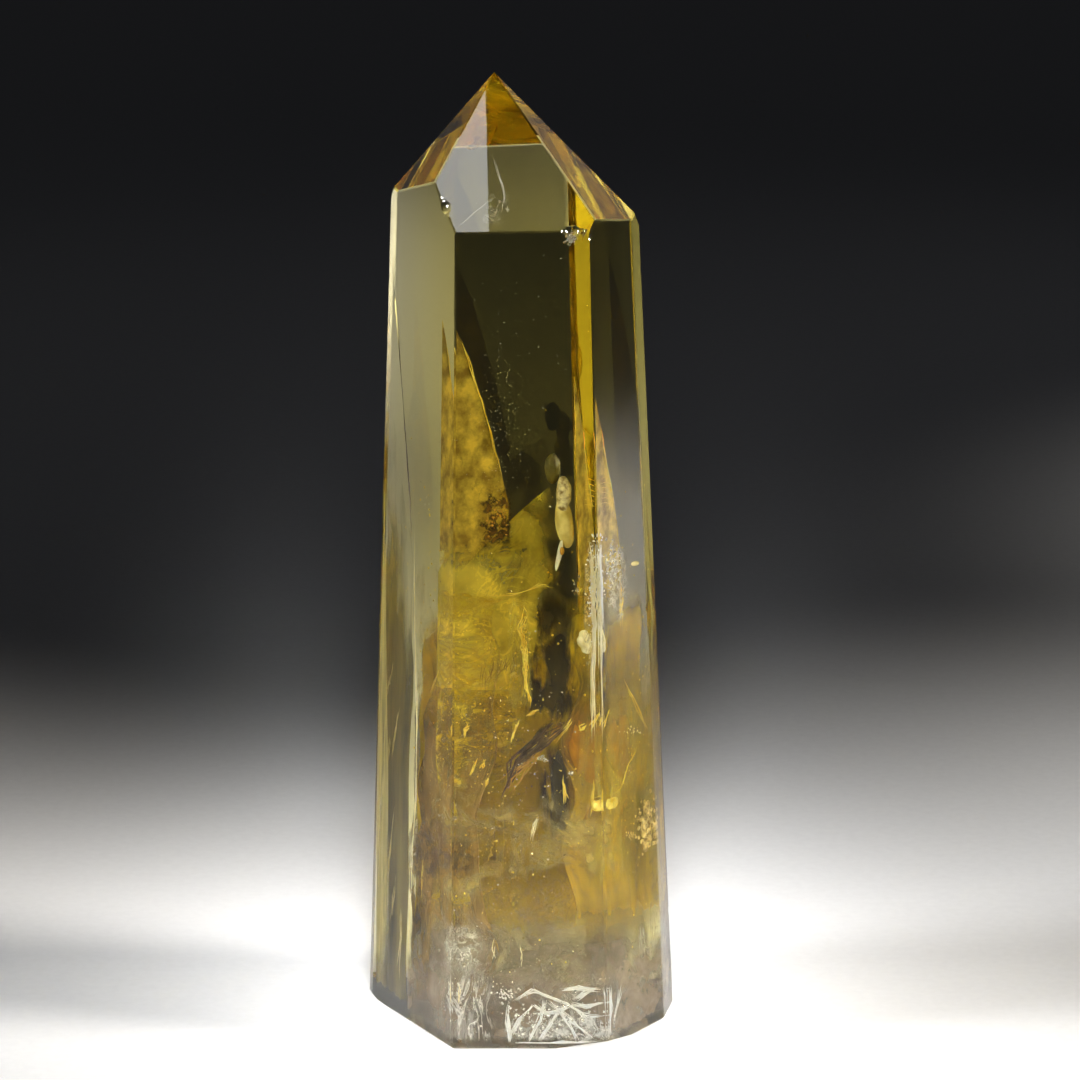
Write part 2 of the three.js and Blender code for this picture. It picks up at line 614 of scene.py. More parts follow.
# Painted shade: a near-black sheet that stands for the dark seen through the clear stone, not an
# inclusion.
PAINTED_SHADE_VEIL = VeilFinish(
    "dark_veil", (0.012, 0.009, 0.001), (0.1, 0.075, 0.006), cover=0.97, least=0.33, most=0.55,
    grain=560, stretch=UPRIGHT,
)
MILKY_VEIL = VeilFinish(
    "milky_veil", (0.3, 0.25, 0.22), (0.66, 0.59, 0.58), cover=0.74, least=0.2, most=0.7, grain=260,
    pinpoints=0.3, wisps=0.15,
)
HAZE_VEIL = VeilFinish(
    "haze_veil", (0.25, 0.18, 0.11), (0.6, 0.5, 0.42), cover=0.68, least=0.24, most=0.66, grain=300,
    wisps=0.12,
)
# Painted reflection: the faint mauve grey that the right corner facet shows of the dim room.
CORNER_REFLECTION_VEIL = VeilFinish(
    "mauve_painted_reflection_veil", (0.36, 0.29, 0.24), (0.62, 0.53, 0.5), cover=0.14, least=0.35, most=0.7, grain=500,
    wisps=0.3,
)
LUMPY_VEIL = VeilFinish(
    "lumpy_veil", (0.5, 0.4, 0.14), (0.92, 0.82, 0.42), cover=0.6, least=0.42, most=0.68, grain=250,
    wisps=0.1,
)
BEIGE_VEIL = VeilFinish(
    "beige_veil", (0.3, 0.2, 0.06), (0.64, 0.45, 0.16), cover=0.75, least=0.2, most=0.64, grain=320,
    stretch=(1.0, 1.0, 0.5), wisps=0.4,
)
WHITE_CLOUD = VeilFinish(
    "white_cloud", (0.8, 0.8, 0.82), (1.0, 1.0, 1.0), cover=0.7, least=0.46, most=0.72, grain=700,
    pinpoints=0.7, wisps=0.9,
)
# Painted reflection: the mottled gold that a thin fracture shows by reflecting the lit stone inside it.
FRACTURE_GOLD_REFLECTION = VeilFinish(
    "fracture_painted_gold_reflection", (0.3, 0.2, 0.01), (0.9, 0.72, 0.12), cover=0.95, least=0.12, most=0.4, grain=900,
    pinpoints=0.5, wisps=0.4,
)
BROWN_FEATHER = VeilFinish(
    "brown_feather", (0.05, 0.022, 0.001), (0.42, 0.25, 0.02), cover=0.95, least=0.3, most=0.56,
    grain=700, stretch=(1.0, 1.0, 0.14), turn=(0, 50, 0), wisps=0.3,
)
BROWN_SPECKLE = VeilFinish(
    "brown_speckle", (0.06, 0.028, 0.002), (0.3, 0.16, 0.01), cover=0.9, least=0.42, most=0.6,
    grain=1500, wisps=0.3,
)

WHITE_GRAIN = GrainFinish("white_grain", (0.9, 0.94, 1.0), (1.0, 1.0, 1.0), shine=Shine.WAXY)
SILVER_GRAIN = GrainFinish("silver_grain", (0.85, 0.86, 0.86), (1.0, 1.0, 1.0), shine=Shine.SILVERY)
GOLD_GRAIN = GrainFinish("gold_grain", (0.75, 0.5, 0.02), (1.0, 0.86, 0.2), shine=Shine.WAXY)
OCHRE_GRAIN = GrainFinish("ochre_grain", (0.45, 0.22, 0.02), (0.8, 0.5, 0.08), shine=Shine.WAXY)
BROWN_GRAIN = GrainFinish("brown_grain", (0.04, 0.02, 0.002), (0.13, 0.07, 0.006), shine=Shine.EARTHY)
# Painted shade: the dark part of the back edge's image seen through the left front face.
EDGE_PAINTED_SHADE_GRAIN = GrainFinish("edge_painted_shade_grain", (0.1, 0.08, 0.09), (0.2, 0.16, 0.17), shine=Shine.EARTHY)
# Painted reflection: the orange and lime of a thin air gap's iridescence.
IRIDESCENT_REFLECTION_GRAIN = GrainFinish(
    "iridescent_painted_reflection_grain", (0.95, 0.45, 0.05), (0.85, 1.0, 0.3), shine=Shine.WAXY, grain=260,
)
NUGGET_GRAIN = GrainFinish(
    "nugget_grain", (0.3, 0.19, 0.03), (1.0, 0.82, 0.36), shine=Shine.WAXY, grain=1500,
)
PALE_GRAIN = GrainFinish("pale_grain", (0.9, 0.82, 0.5), (1.0, 0.97, 0.8), shine=Shine.WAXY)
MOTTLED_GRAIN = GrainFinish(
    "mottled_grain", (0.24, 0.15, 0.03), (0.96, 0.9, 0.62), shine=Shine.WAXY, grain=1700,
)
OLIVE_GRAIN = GrainFinish(
    "olive_grain", (0.55, 0.45, 0.12), (0.85, 0.75, 0.35), shine=Shine.WAXY, grain=500,
)


class Piece:
    """What every grown-in piece and every sheet of painted light and shade shares: it is built inside
    the crystal and rides on its body.
    """

    MARGIN = 0.35 * MM

    def finish_mesh(self, bm: BMesh, name: str, material: Material, smooth: bool) -> Object:
        """Turn a bmesh into a piece that rides on the crystal.

        Args:
            bm: the finished mesh, which is freed.
            name: the piece's name.
            material: its one material.
            smooth: whether its faces are shaded smooth.

        Returns:
            The piece.
        """
        bmesh.ops.recalc_face_normals(bm, faces=bm.faces)
        for face in bm.faces:
            face.smooth = smooth
        mesh = bpy.data.meshes.new(name)
        bm.to_mesh(mesh)
        bm.free()
        mesh.materials.append(material)
        piece = bpy.data.objects.new(name, mesh)
        bpy.context.scene.collection.objects.link(piece)
        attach(piece, BODY)
        log.info("%s: %d faces", name, len(mesh.polygons))
        return piece


def smooth_step(value: float) -> float:
    """Ease a value from 0 to 1."""
    held = min(max(value, 0.0), 1.0)
    return held * held * (3 - 2 * held)


@dataclass(frozen=True)
class Fade:
    """How far in from each border a sheet thins out, as a share of its width or height."""

    left: float = 0.3
    right: float = 0.3
    foot: float = 0.3
    head: float = 0.3

    def at(self, across: float, up: float) -> float:
        """How solid the sheet is at a place.

        Args:
            across: 0 at the left border, 1 at the right.
            up: 0 at the lower border, 1 at the upper.

        Returns:
            0 at a soft border, 1 well inside.
        """
        shares = ((across, self.left), (1 - across, self.right), (up, self.foot), (1 - up, self.head))
        solid = 1.0
        for distance, width in shares:
            if width > 0:
                solid *= smooth_step(distance / width)
        return solid


@dataclass(frozen=True)
class Veil(Piece):
    """A thin, rippled sheet between four places: left foot, right foot, right head and left head.

    Its ripple and its thickness are in mm.
    """

    WAVES_PER_M: ClassVar[float] = 160.0
    FADING_ROOM: ClassVar[float] = 0.8 * MM

    name: str
    corners: tuple[Seen, Seen, Seen, Seen]
    finish: VeilFinish
    fade: Fade = Fade()
    ripple: float = 0.6
    cells: int = 26
    thickness: float = 0.05

    def build(self, crystal: Crystal, finishes: Finishes) -> Object:
        """Make the sheet, cut to the crystal.

        Args:
            crystal: what it lies in.
            finishes: where its material comes from.

        Returns:
            The piece.
        """
        bm = bmesh.new()
        bmesh.ops.create_grid(bm, x_segments=self.cells, y_segments=self.cells, size=0.5)
        fade = bm.verts.layers.float.new("fade")
        middle = [sum(values) / 4 for values in zip(*self.corners)]
        flat = crystal.flat_at(middle[0], middle[1])
        for vert in bm.verts:
            across, up = vert.co.x + 0.5, vert.co.y + 0.5
            vert[fade] = self.fade.at(across, up)
            point = crystal.place(self._between(across, up), flat)
            wave = noise.noise(point * self.WAVES_PER_M + Vector((len(self.name), 0, 0)))
            vert.co = point - flat.normal * MM * self.ripple * 2 * wave
        crystal.clip(bm, self.MARGIN)
        for vert in bm.verts:
            vert[fade] *= smooth_step((crystal.room(vert.co) - self.MARGIN) / self.FADING_ROOM)
        bmesh.ops.recalc_face_normals(bm, faces=bm.faces)
        bmesh.ops.solidify(bm, geom=bm.faces[:], thickness=self.thickness * MM)
        return self.finish_mesh(bm, self.name, finishes.of(self.finish), True)

    def _between(self, across: float, up: float) -> Seen:
        """The place at a share of the way across and up the sheet.

        Args:
            across: 0 at the left border, 1 at the right.
            up: 0 at the lower border, 1 at the upper.

        Returns:
            The pixel and the depth there.
        """
        low_left, low_right, high_right, high_left = self.corners
        foot = [a + (b - a) * across for a, b in zip(low_left, low_right)]
        head = [a + (b - a) * across for a, b in zip(high_left, high_right)]
        return Seen(*(a + (b - a) * up for a, b in zip(foot, head)))


@dataclass(frozen=True)
class Flake(Piece):
    """A thin plate with a sharp outline, which may fade out from one place to another."""

    WAVES_PER_M: ClassVar[float] = 500.0
    CUTS: ClassVar[int] = 7

    name: str
    outline: tuple[Seen, ...]
    finish: VeilFinish
    fade_from: Seen | None = None
    fade_to: Seen | None = None
    ripple: float = 0.12
    thickness: float = 0.06

    def build(self, crystal: Crystal, finishes: Finishes) -> Object:
        """Make the plate, cut to the crystal.

        Args:
            crystal: what it lies in.
            finishes: where its material comes from.

        Returns:
            The piece.
        """
        bm = bmesh.new()
        fade = bm.verts.layers.float.new("fade")
        middle = [sum(values) / len(self.outline) for values in zip(*self.outline)]
        flat = crystal.flat_at(middle[0], middle[1])
        corners = [bm.verts.new(crystal.place(seen, flat)) for seen in self.outline]
        bmesh.ops.contextual_create(bm, geom=corners)
        bmesh.ops.triangulate(bm, faces=bm.faces[:])
        bmesh.ops.subdivide_edges(bm, edges=bm.edges[:], cuts=self.CUTS, use_grid_fill=True)
        crystal.clip(bm, self.MARGIN)
        for vert in bm.verts:
            vert[fade] = self._fade_at(vert.co, crystal, flat)
            wave = noise.noise(vert.co * self.WAVES_PER_M)
            vert.co -= flat.normal * MM * self.ripple * wave
        bmesh.ops.recalc_face_normals(bm, faces=bm.faces)
        bmesh.ops.solidify(bm, geom=bm.faces[:], thickness=self.thickness * MM)
        return self.finish_mesh(bm, self.name, finishes.of(self.finish), True)

    def _fade_at(self, point: Vector, crystal: Crystal, flat: Flat) -> float:
        """How solid the plate is at a point.

        Args:
            point: the point in metres.
            crystal: what the plate lies in.
            flat: what it is seen through.

        Returns:
            1 before the fading starts, 0 past its end.
        """
        if self.fade_from is None or self.fade_to is None:
            return 1.0
        start = crystal.place(self.fade_from, flat)
        way = crystal.place(self.fade_to, flat) - start
        return 1 - smooth_step((point - start).dot(way) / way.length_squared)


@dataclass(frozen=True)
class Thread(Piece):
    """A vein, needle or crack line that runs through places, thin at both ends; a few threads are
    painted highlight, shade and reflection instead.

    It may be a bundle of several strands, which stray from the path by up to about that many mm.
    """

    TREMBLE: ClassVar[float] = 0.12 * MM
    TREMBLES_PER_M: ClassVar[float] = 700.0
    SHIVER: ClassVar[float] = 0.04 * MM
    SHIVERS_PER_M: ClassVar[float] = 2600.0
    UNEVEN: ClassVar[float] = 0.8
    KNOTS_PER_M: ClassVar[float] = 1800.0
    THINNEST: ClassVar[float] = 0.1

    name: str
    paths: tuple[tuple[Seen, ...], ...]
    finish: GrainFinish
    width: float = 0.25
    blade: float = 1.0
    strands: int = 1
    stray: float = 0.0
    ragged: float = 0.35
    sides: int = 5
    steps: int = 4

    def build(self, crystal: Crystal, finishes: Finishes) -> Object:
        """Sweep a ring along each path.

        Args:
            crystal: what it lies in.
            finishes: where its material comes from.

        Returns:
            The piece.
        """
        bm = bmesh.new()
        draw = random.Random(self.name)
        margin = self.MARGIN + self.width * self.blade * MM
        for path in self.paths:
            flat = crystal.flat_at(path[0].x, path[0].y)
            places = [crystal.place(seen, flat) for seen in path]
            lines = [places]
            if self.strands > 1:
                lines = [self._strand(places, draw) for _ in range(self.strands)]
            for line in lines:
                held = [crystal.held(point, margin) for point in self._finer(line)]
                self._sweep(bm, held, flat)
        return self.finish_mesh(bm, self.name, finishes.of(self.finish), True)

    def _strand(self, places: Sequence[Vector], draw: random.Random) -> list[Vector]:
        """One strand of a bundle: most of the path's length, a little beside it.

        Args:
            places: the path.
            draw: where the chance comes from.

        Returns:
            The strand's own path.
        """
        first = draw.uniform(0.0, self.ragged)
        last = 1 - draw.uniform(0.0, self.ragged)
        count = max(len(places), 3)
        strand = []
        for index in range(count):
            way = (first + (last - first) * index / (count - 1)) * (len(places) - 1)
            before = min(int(way), len(places) - 2)
            point = places[before].lerp(places[before + 1], way - before)
            strand.append(point + Vector([draw.gauss(0, self.stray * MM / 2) for _ in range(3)]))
        return strand

    def _finer(self, places: Sequence[Vector]) -> list[Vector]:
        """Add places between the given ones, with a slight tremble.

        Args:
            places: at least two places.

        Returns:
            The finer path.
        """
        finer = []
        for start, end in zip(places, places[1:]):
            for step in range(self.steps):
                point = start.lerp(end, step / self.steps)
                tremble = noise.noise_vector(point * self.TREMBLES_PER_M) * self.TREMBLE
                shiver = noise.noise_vector(point * self.SHIVERS_PER_M) * self.SHIVER
                finer.append(point + (tremble + shiver))
        finer.append(places[-1].copy())
        return finer

    def _sweep(self, bm: BMesh, path: Sequence[Vector], flat: Flat) -> None:
        """Draw one closed thread along a path.

        Args:
            bm: where it is added.
            path: the middle line.
            flat: its normal is the way that the blade is wide.
        """
        half = self.width * MM / 2
        ring = bmesh.ops.create_circle(bm, cap_ends=True, segments=self.sides, radius=half)["verts"]
        cap = ring[0].link_faces[0]
        before = self._pose(path, 0, flat)
        bmesh.ops.transform(bm, matrix=before, verts=ring)
        for index in range(1, len(path)):
            grown = bmesh.ops.extrude_face_region(bm, geom=[cap])["geom"]
            if index > 1:
                bmesh.ops.delete(bm, geom=[cap], context="FACES_ONLY")
            cap = next(item for item in grown if isinstance(item, bmesh.types.BMFace))
            after = self._pose(path, index, flat)
            bmesh.ops.transform(bm, matrix=after @ before.inverted(), verts=cap.verts)
            before = after

    def _pose(self, path: Sequence[Vector], index: int, flat: Flat) -> Matrix:
        """Where the ring stands at one step of the path.

        Args:
            path: the middle line.
            index: the step.
            flat: its normal is the way that the blade is wide.

        Returns:
            The ring's matrix, smaller towards both ends.
        """
        ahead = path[min(index + 1, len(path) - 1)] - path[max(index - 1, 0)]
        along = ahead.normalized()
        side = along.cross(flat.normal).normalized()
        deep = side.cross(along)
        share = index / (len(path) - 1)
        uneven = 1 + self.UNEVEN * noise.noise(path[index] * self.KNOTS_PER_M)
        taper = uneven * max(self.THINNEST, math.sin(math.pi * share) ** 0.5)
        rows = Matrix((side * taper, deep * taper * self.blade, along)).transposed().to_4x4()
        return Matrix.Translation(path[index]) @ rows


@dataclass(frozen=True)
class Blob(Piece):
    """A rounded body between two places, uneven all over."""

    SWELLS: ClassVar[float] = 1.6
    PIT_SHARE: ClassVar[float] = 0.4

    name: str
    start: Seen
    end: Seen
    finish: GrainFinish
    width: float
    depth: float
    uneven: float = 0.15
    lumps: float = 700.0
    blunt: float = 1.0

    def build(self, crystal: Crystal, finishes: Finishes) -> Object:
        """Shape the body from a fine ball.

        Args:
            crystal: what it lies in.
            finishes: where its material comes from.

        Returns:
            The piece.
        """
        flat = crystal.flat_at(self.start.x, self.start.y)
        margin = self.MARGIN + self.depth * MM / 2
        start = crystal.held(crystal.place(self.start, flat), margin)
        end = crystal.held(crystal.place(self.end, flat), margin)
        along = end - start
        side = along.normalized().cross(flat.normal).normalized()
        deep = side.cross(along.normalized())
        bm = bmesh.new()
        bmesh.ops.create_icosphere(bm, subdivisions=4, radius=1)
        for vert in bm.verts:
            swell = 1 + self.uneven * noise.noise(vert.co * self.SWELLS + start / MM)
            length = abs(vert.co.z) ** self.blunt * math.copysign(1, vert.co.z)
            across = vert.co.x * swell * self.width * MM / 2
            inwards = vert.co.y * swell * self.depth * MM / 2
            point = (start + end) / 2 + along / 2 * length + side * across + deep * inwards
            pit = noise.noise(point * self.lumps) * self.uneven * self.width * MM * self.PIT_SHARE
            vert.co = point + (side * vert.co.x + deep * vert.co.y) * pit
        return self.finish_mesh(bm, self.name, finishes.of(self.finish), True)


@dataclass(frozen=True)
class Glints(Piece):
    """Many small bright grains about a place."""

    name: str
    middle: Seen
    reach: tuple[float, float, float]
    count: int
    finish: GrainFinish
    least: float = 0.1
    most: float = 0.35
    thin: float = 0.3
    seed: int = 1

    def build(self, crystal: Crystal, finishes: Finishes) -> Object:
        """Scatter the grains.

        Args:
            crystal: what they lie in.
            finishes: where their material comes from.

        Returns:
            The piece.
        """
        draw = random.Random(self.seed)
        bm = bmesh.new()
        flat = crystal.flat_at(self.middle.x, self.middle.y)
        for _ in range(self.count):
            offset = [draw.gauss(0, 0.5) * reach for reach in self.reach]
            seen = Seen(*(value + shift for value, shift in zip(self.middle, offset)))
            point = crystal.held(crystal.place(seen, flat), self.MARGIN + self.most * MM)
            size = draw.uniform(self.least, self.most) * MM / 2
            angle = draw.uniform(0, math.tau)
            axis = Vector([draw.gauss(0, 1) for _ in range(3)])
            turn = Matrix.Rotation(angle, 4, axis)
            shape = Matrix.Diagonal((size, size * self.thin, size, 1))
            pose = Matrix.Translation(point) @ turn @ shape
            bmesh.ops.create_icosphere(bm, subdivisions=1, radius=1, matrix=pose)
        return self.finish_mesh(bm, self.name, finishes.of(self.finish), False)


class GoldenHeart:
    """The large golden veils that fill the lower half, with two dark sheets of painted shade among them.
    """

    def pieces(self) -> list[Piece]:
        """The veils, from the back to the front."""
        return [
            Veil(
                "heart_fog",
                (Seen(450, 960, 14), Seen(608, 960, 15), Seen(602, 580, 13), Seen(448, 620, 10)),
                FOG_GOLD, fade=Fade(0.02, 0.02, 0.2, 0.2), ripple=1.4,
            ),
            Veil(
                "heart_veil_low",
                (Seen(450, 965, 8), Seen(608, 965, 11), Seen(606, 780, 12), Seen(450, 770, 9)),
                GOLD_VEIL, fade=Fade(0.05, 0.05, 0.35, 0.4), ripple=1.6,
            ),
            Veil(
                "heart_veil_left",
                (Seen(449, 830, 5), Seen(535, 800, 9), Seen(528, 590, 8), Seen(449, 560, 5)),
                replace(
                    GOLD_VEIL, name="gold_veil_streaked", stretch=(0.7, 1, 1.7), turn=(0, 28, 0),
                    grain=380, cover=0.65, wisps=0.25,
                ),
                fade=Fade(0.02, 0.4, 0.35, 0.25), ripple=1.2,
            ),
            Veil(
                "heart_veil_right",
                (Seen(570, 900, 5), Seen(608, 900, 6), Seen(606, 690, 6), Seen(576, 690, 5)),
                replace(GOLD_VEIL, name="gold_veil_upright", stretch=UPRIGHT, cover=0.35),
                fade=Fade(0.4, 0.05, 0.35, 0.35), ripple=0.8,
            ),
            Veil(
                "amber_veil_right",
                (Seen(552, 860, 8), Seen(608, 865, 11), Seen(604, 680, 10), Seen(558, 680, 7)),
                AMBER_VEIL, fade=Fade(0.45, 0.1, 0.45, 0.45), ripple=0.8,
            ),
            # Painted shade: this sheet and the next darken the stone where only shade shows through it.
            Veil(
                "dark_veil_middle",
                (Seen(512, 745, 7), Seen(590, 745, 8), Seen(586, 575, 8), Seen(512, 575, 7)), PAINTED_SHADE_VEIL,
                fade=Fade(0.45, 0.35, 0.4, 0.4), ripple=0.6,
            ),
            Veil(
                "dark_veil_low",
                (Seen(536, 850, 6), Seen(576, 850, 7), Seen(574, 730, 7), Seen(536, 730, 6)), PAINTED_SHADE_VEIL,
                fade=Fade(0.5, 0.5, 0.45, 0.45), ripple=0.4,
            ),
            Veil(
                "brown_veil_left",
                (Seen(452, 800, 6), Seen(520, 800, 7), Seen(520, 670, 7), Seen(452, 670, 6)),
                replace(BROWN_SPECKLE, name="brown_veil", cover=0.14, grain=420),
                fade=Fade(0.2, 0.5, 0.5, 0.5), ripple=0.6,
            ),
            Veil(
                "heart_clouds",
                (Seen(452, 915, 4), Seen(604, 915, 5), Seen(600, 785, 5), Seen(452, 785, 4)),
                LUMPY_VEIL, fade=Fade(0.1, 0.1, 0.45, 0.45), ripple=0.8,
            ),
        ]


class PaintedReflectionWedges:
    """The sharp-edged fracture planes on both sides of the front face, whose gold and bright rims are a
    painted reflection, and the olive plane between.
    """

    rungs: tuple[tuple[Seen, ...], ...] = tuple(
        (Seen(601, 478 + 5 * row, 3), Seen(606, 477 + 5 * row, 3), Seen(611, 479 + 5 * row, 3))
        for row in range(6)
    )

    def pieces(self) -> list[Piece]:
        """The planes."""
        return [
            # Real fracture planes; their gold is a painted reflection.
            Flake(
                "wedge_left",
                (
                    Seen(453, 322, 4), Seen(468, 357, 4.6), Seen(482, 400, 5.2), Seen(497, 457, 6),
                    Seen(509, 505, 6.6), Seen(508, 533, 6.6), Seen(489, 541, 5.6), Seen(448, 585, 4),
                ),
                FRACTURE_GOLD_REFLECTION, fade_from=Seen(480, 520, 5.5), fade_to=Seen(468, 585, 5),
            ),
            Flake(
                "plane_olive",
                (
                    Seen(489, 541, 6), Seen(520, 511, 7), Seen(549, 487, 8), Seen(566, 520, 8.4),
                    Seen(566, 640, 8.4), Seen(500, 690, 7), Seen(449, 690, 5), Seen(449, 575, 4.6),
                ),
                OLIVE_VEIL, fade_from=Seen(500, 570, 6), fade_to=Seen(578, 560, 8),
            ),
            Veil(
                "wedge_shadow",
                (Seen(474, 556, 5.4), Seen(514, 548, 6.4), Seen(512, 480, 6.4), Seen(476, 480, 5)),
                BROWN_SPECKLE, fade=Fade(0.5, 0.2, 0.3, 0.5), ripple=0.2,
            ),
            Flake(
                "wedge_right",
                (
                    Seen(590.5, 376, 3), Seen(597, 405, 3.2), Seen(605, 452, 3.6), Seen(611, 485, 4),
                    Seen(618, 526, 4.4), Seen(622, 575, 4.6), Seen(604, 640, 4), Seen(597, 560, 3.4),
                ),
                FRACTURE_GOLD_REFLECTION, fade_from=Seen(610, 520, 4), fade_to=Seen(610, 640, 4),
            ),
            # Painted reflection: the bright gold rim along the left fracture's edge.
            Thread(
                "rim_left",
                (
                    (
                        Seen(455, 323, 4), Seen(468, 357, 4.6), Seen(482, 400, 5.2), Seen(497, 457, 6),
                        Seen(509, 505, 6.6),
                    ),
                ),
                GOLD_GRAIN, width=0.1, blade=1.0, strands=3, stray=0.14,
            ),
            # Painted reflection: the iridescent rim along the right fracture's edge.
            Thread(
                "rim_right",
                (
                    (
                        Seen(597, 405, 3.2), Seen(600, 426, 3.4), Seen(605, 452, 3.6),
                        Seen(611, 485, 4), Seen(618, 526, 4.4),
                    ),
                ),
                IRIDESCENT_REFLECTION_GRAIN, width=0.14, blade=1.0, strands=2, stray=0.1,
            ),
            Thread("ladder_right", self.rungs, GOLD_GRAIN, width=0.05, blade=1.0),
        ]


class MilkyFoot:
    """The milky clouds above the foot and the white web of cracks at its front."""

    web: tuple[tuple[Seen, ...], ...] = (
        (Seen(509, 1044, 1), Seen(508, 1024, 1.2), Seen(509, 1003, 1.6)),
        (
            Seen(511, 1004, 1.6), Seen(533, 989, 2.2), Seen(546, 996, 2), Seen(569, 1003, 1.8),
            Seen(586, 1018, 1.4), Seen(605, 1016, 1.2),
        ),
        (Seen(511, 1036, 1), Seen(520, 1018, 1.4), Seen(533, 1004, 1.8)),
        (Seen(539.5, 1041, 0.9), Seen(549, 1024, 1.2), Seen(559, 1011, 1.6)),
        (Seen(546, 999, 2), Seen(570, 1019, 1.6), Seen(593, 1039, 1)),
        (Seen(549.5, 991, 2.4), Seen(576, 989, 2.4), Seen(602.5, 989.5, 2)),
        (Seen(573, 999, 2), Seen(585, 994, 2), Seen(596, 988, 2)),
        (Seen(533, 1004, 1.8), Seen(546, 1012, 1.6), Seen(559, 1011, 1.6), Seen(575, 1003, 1.8)),
        (Seen(528, 1042, 1), Seen(540, 1020, 1.4), Seen(546, 999, 2)),
        (Seen(559, 1011, 1.6), Seen(570, 1024, 1.4), Seen(578, 1040, 1)),
        (Seen(569, 1003, 1.8), Seen(586, 1006, 1.6), Seen(604, 1002, 1.6)),
    )
    edge: tuple[tuple[Seen, ...], ...] = (
        (Seen(510, 1044, 0.8), Seen(540, 1044, 0.8), Seen(570, 1042, 0.8), Seen(604, 1041, 0.8)),
        (Seen(606, 1036, 1), Seen(607, 1010, 1.4), Seen(605, 985, 1.8)),
        (Seen(612, 1030, 1.2), Seen(617, 1005, 1.6), Seen(622, 985, 2)),
    )
    lines: tuple[tuple[Seen, ...], ...] = (
        (Seen(494, 965, 2), Seen(494, 935, 2.4)),
        (Seen(521, 973, 2), Seen(521, 941, 2.4)),
        (Seen(458, 1009, 1.4), Seen(459, 990, 1.8), Seen(457, 974, 2)),
    )

    def pieces(self) -> list[Piece]:
        """The clouds and the web."""
        return [
            Veil(
                "milky_veil_back",
                (Seen(445, 1046, 14), Seen(612, 1046, 14), Seen(612, 900, 14), Seen(445, 900, 14)),
                MILKY_VEIL, fade=Fade(0.05, 0.05, 0.05, 0.5), ripple=1.2,
            ),
            Veil(
                "milky_veil_front",
                (Seen(445, 1046, 5), Seen(612, 1046, 5), Seen(612, 890, 8), Seen(445, 890, 7)),
                MILKY_VEIL, fade=Fade(0.05, 0.05, 0.05, 0.6), ripple=1.0,
            ),
            Veil(
                "foot_haze_left",
                (Seen(408, 1020, 1.6), Seen(456, 1046, 1.6), Seen(456, 950, 3), Seen(408, 940, 3)),
                HAZE_VEIL, fade=Fade(0, 0, 0, 0.6), ripple=0.3,
            ),
            Veil(
                "foot_haze_right",
                (Seen(606, 1042, 1.6), Seen(674, 1012, 1.6), Seen(674, 920, 3), Seen(606, 930, 3)),
                HAZE_VEIL, fade=Fade(0, 0, 0, 0.6), ripple=0.4,
            ),
            Veil(
                "foot_haze_front",
                (Seen(450, 1046, 1.6), Seen(609, 1046, 1.6), Seen(609, 955, 3.4), Seen(450, 955, 3.4)),
                HAZE_VEIL, fade=Fade(0, 0, 0, 0.6), ripple=0.4,
            ),
            Veil(
                "cloud_left",
                (Seen(438, 978, 2), Seen(498, 992, 2.6), Seen(488, 920, 3), Seen(440, 916, 2.6)),
                WHITE_CLOUD, fade=Fade(0.5, 0.5, 0.5, 0.5), ripple=0.8,
            ),
            Veil(
                "cloud_left_low",
                (Seen(440, 1040, 1.6), Seen(500, 1046, 1.6), Seen(498, 965, 2.4), Seen(440, 955, 2.4)),
                replace(
                    WHITE_CLOUD, name="white_cloud_upright", stretch=UPRIGHT, cover=0.5, pinpoints=0.4,
                ),
                fade=Fade(0.3, 0.3, 0.1, 0.4), ripple=0.6,
            ),
            Veil(
                "cloud_web",
                (Seen(502, 1047, 1.4), Seen(612, 1047, 1.4), Seen(610, 978, 3), Seen(502, 978, 3)),
                replace(
                    WHITE_CLOUD, name="white_cloud_web", cover=0.9, least=0.38, wisps=1.0, grain=900,
                ),
                fade=Fade(0.12, 0.08, 0.0, 0.3), ripple=0.5,
            ),
            Veil(
                "plume_right",
                (Seen(609, 1042, 2), Seen(645, 1035, 2), Seen(664, 960, 4), Seen(609, 965, 3)),
                replace(
                    WHITE_CLOUD, name="white_cloud_plume", cover=1.0, least=0.36, most=0.58,
                    pinpoints=0.9,
                ),
                fade=Fade(0.1, 0.3, 0.05, 0.4), ripple=0.6,
            ),
            Veil(
                "wisps_right",
                (Seen(634, 1000, 3), Seen(674, 990, 2.4), Seen(674, 900, 3), Seen(634, 900, 4)),
                replace(
                    WHITE_CLOUD, name="white_cloud_thin", stretch=UPRIGHT, cover=0.4, pinpoints=0.3,
                ),
                fade=Fade(0.4, 0.3, 0.3, 0.5), ripple=0.6,
            ),
            Thread(
                "crack_web", self.web, WHITE_GRAIN, width=0.12, blade=1.3, strands=8, stray=0.2,
                ragged=0.08,
            ),
            Thread(
                "crack_edge", self.edge, WHITE_GRAIN, width=0.1, blade=1.2, strands=8, stray=0.24,
                ragged=0.2,
            ),
            Thread(
                "crack_lines_foot", self.lines, PALE_GRAIN, width=0.1, blade=2.0, strands=2, stray=0.2,
            ),
            Glints(
                "crack_sparkle", Seen(555, 1018, 1.6), (48, 18, 0.6), 260, SILVER_GRAIN, least=0.1,
                most=0.4, thin=0.2, seed=3,
            ),
            Glints(
                "sparkle_left", Seen(466, 1000, 2), (22, 40, 0.6), 120, SILVER_GRAIN, least=0.08,
                most=0.3, thin=0.3, seed=4,
            ),
            Glints(
                "sparkle_middle", Seen(505, 995, 2), (12, 10, 0.6), 60, WHITE_GRAIN, least=0.1,
                most=0.26, thin=0.6, seed=9,
            ),
        ]


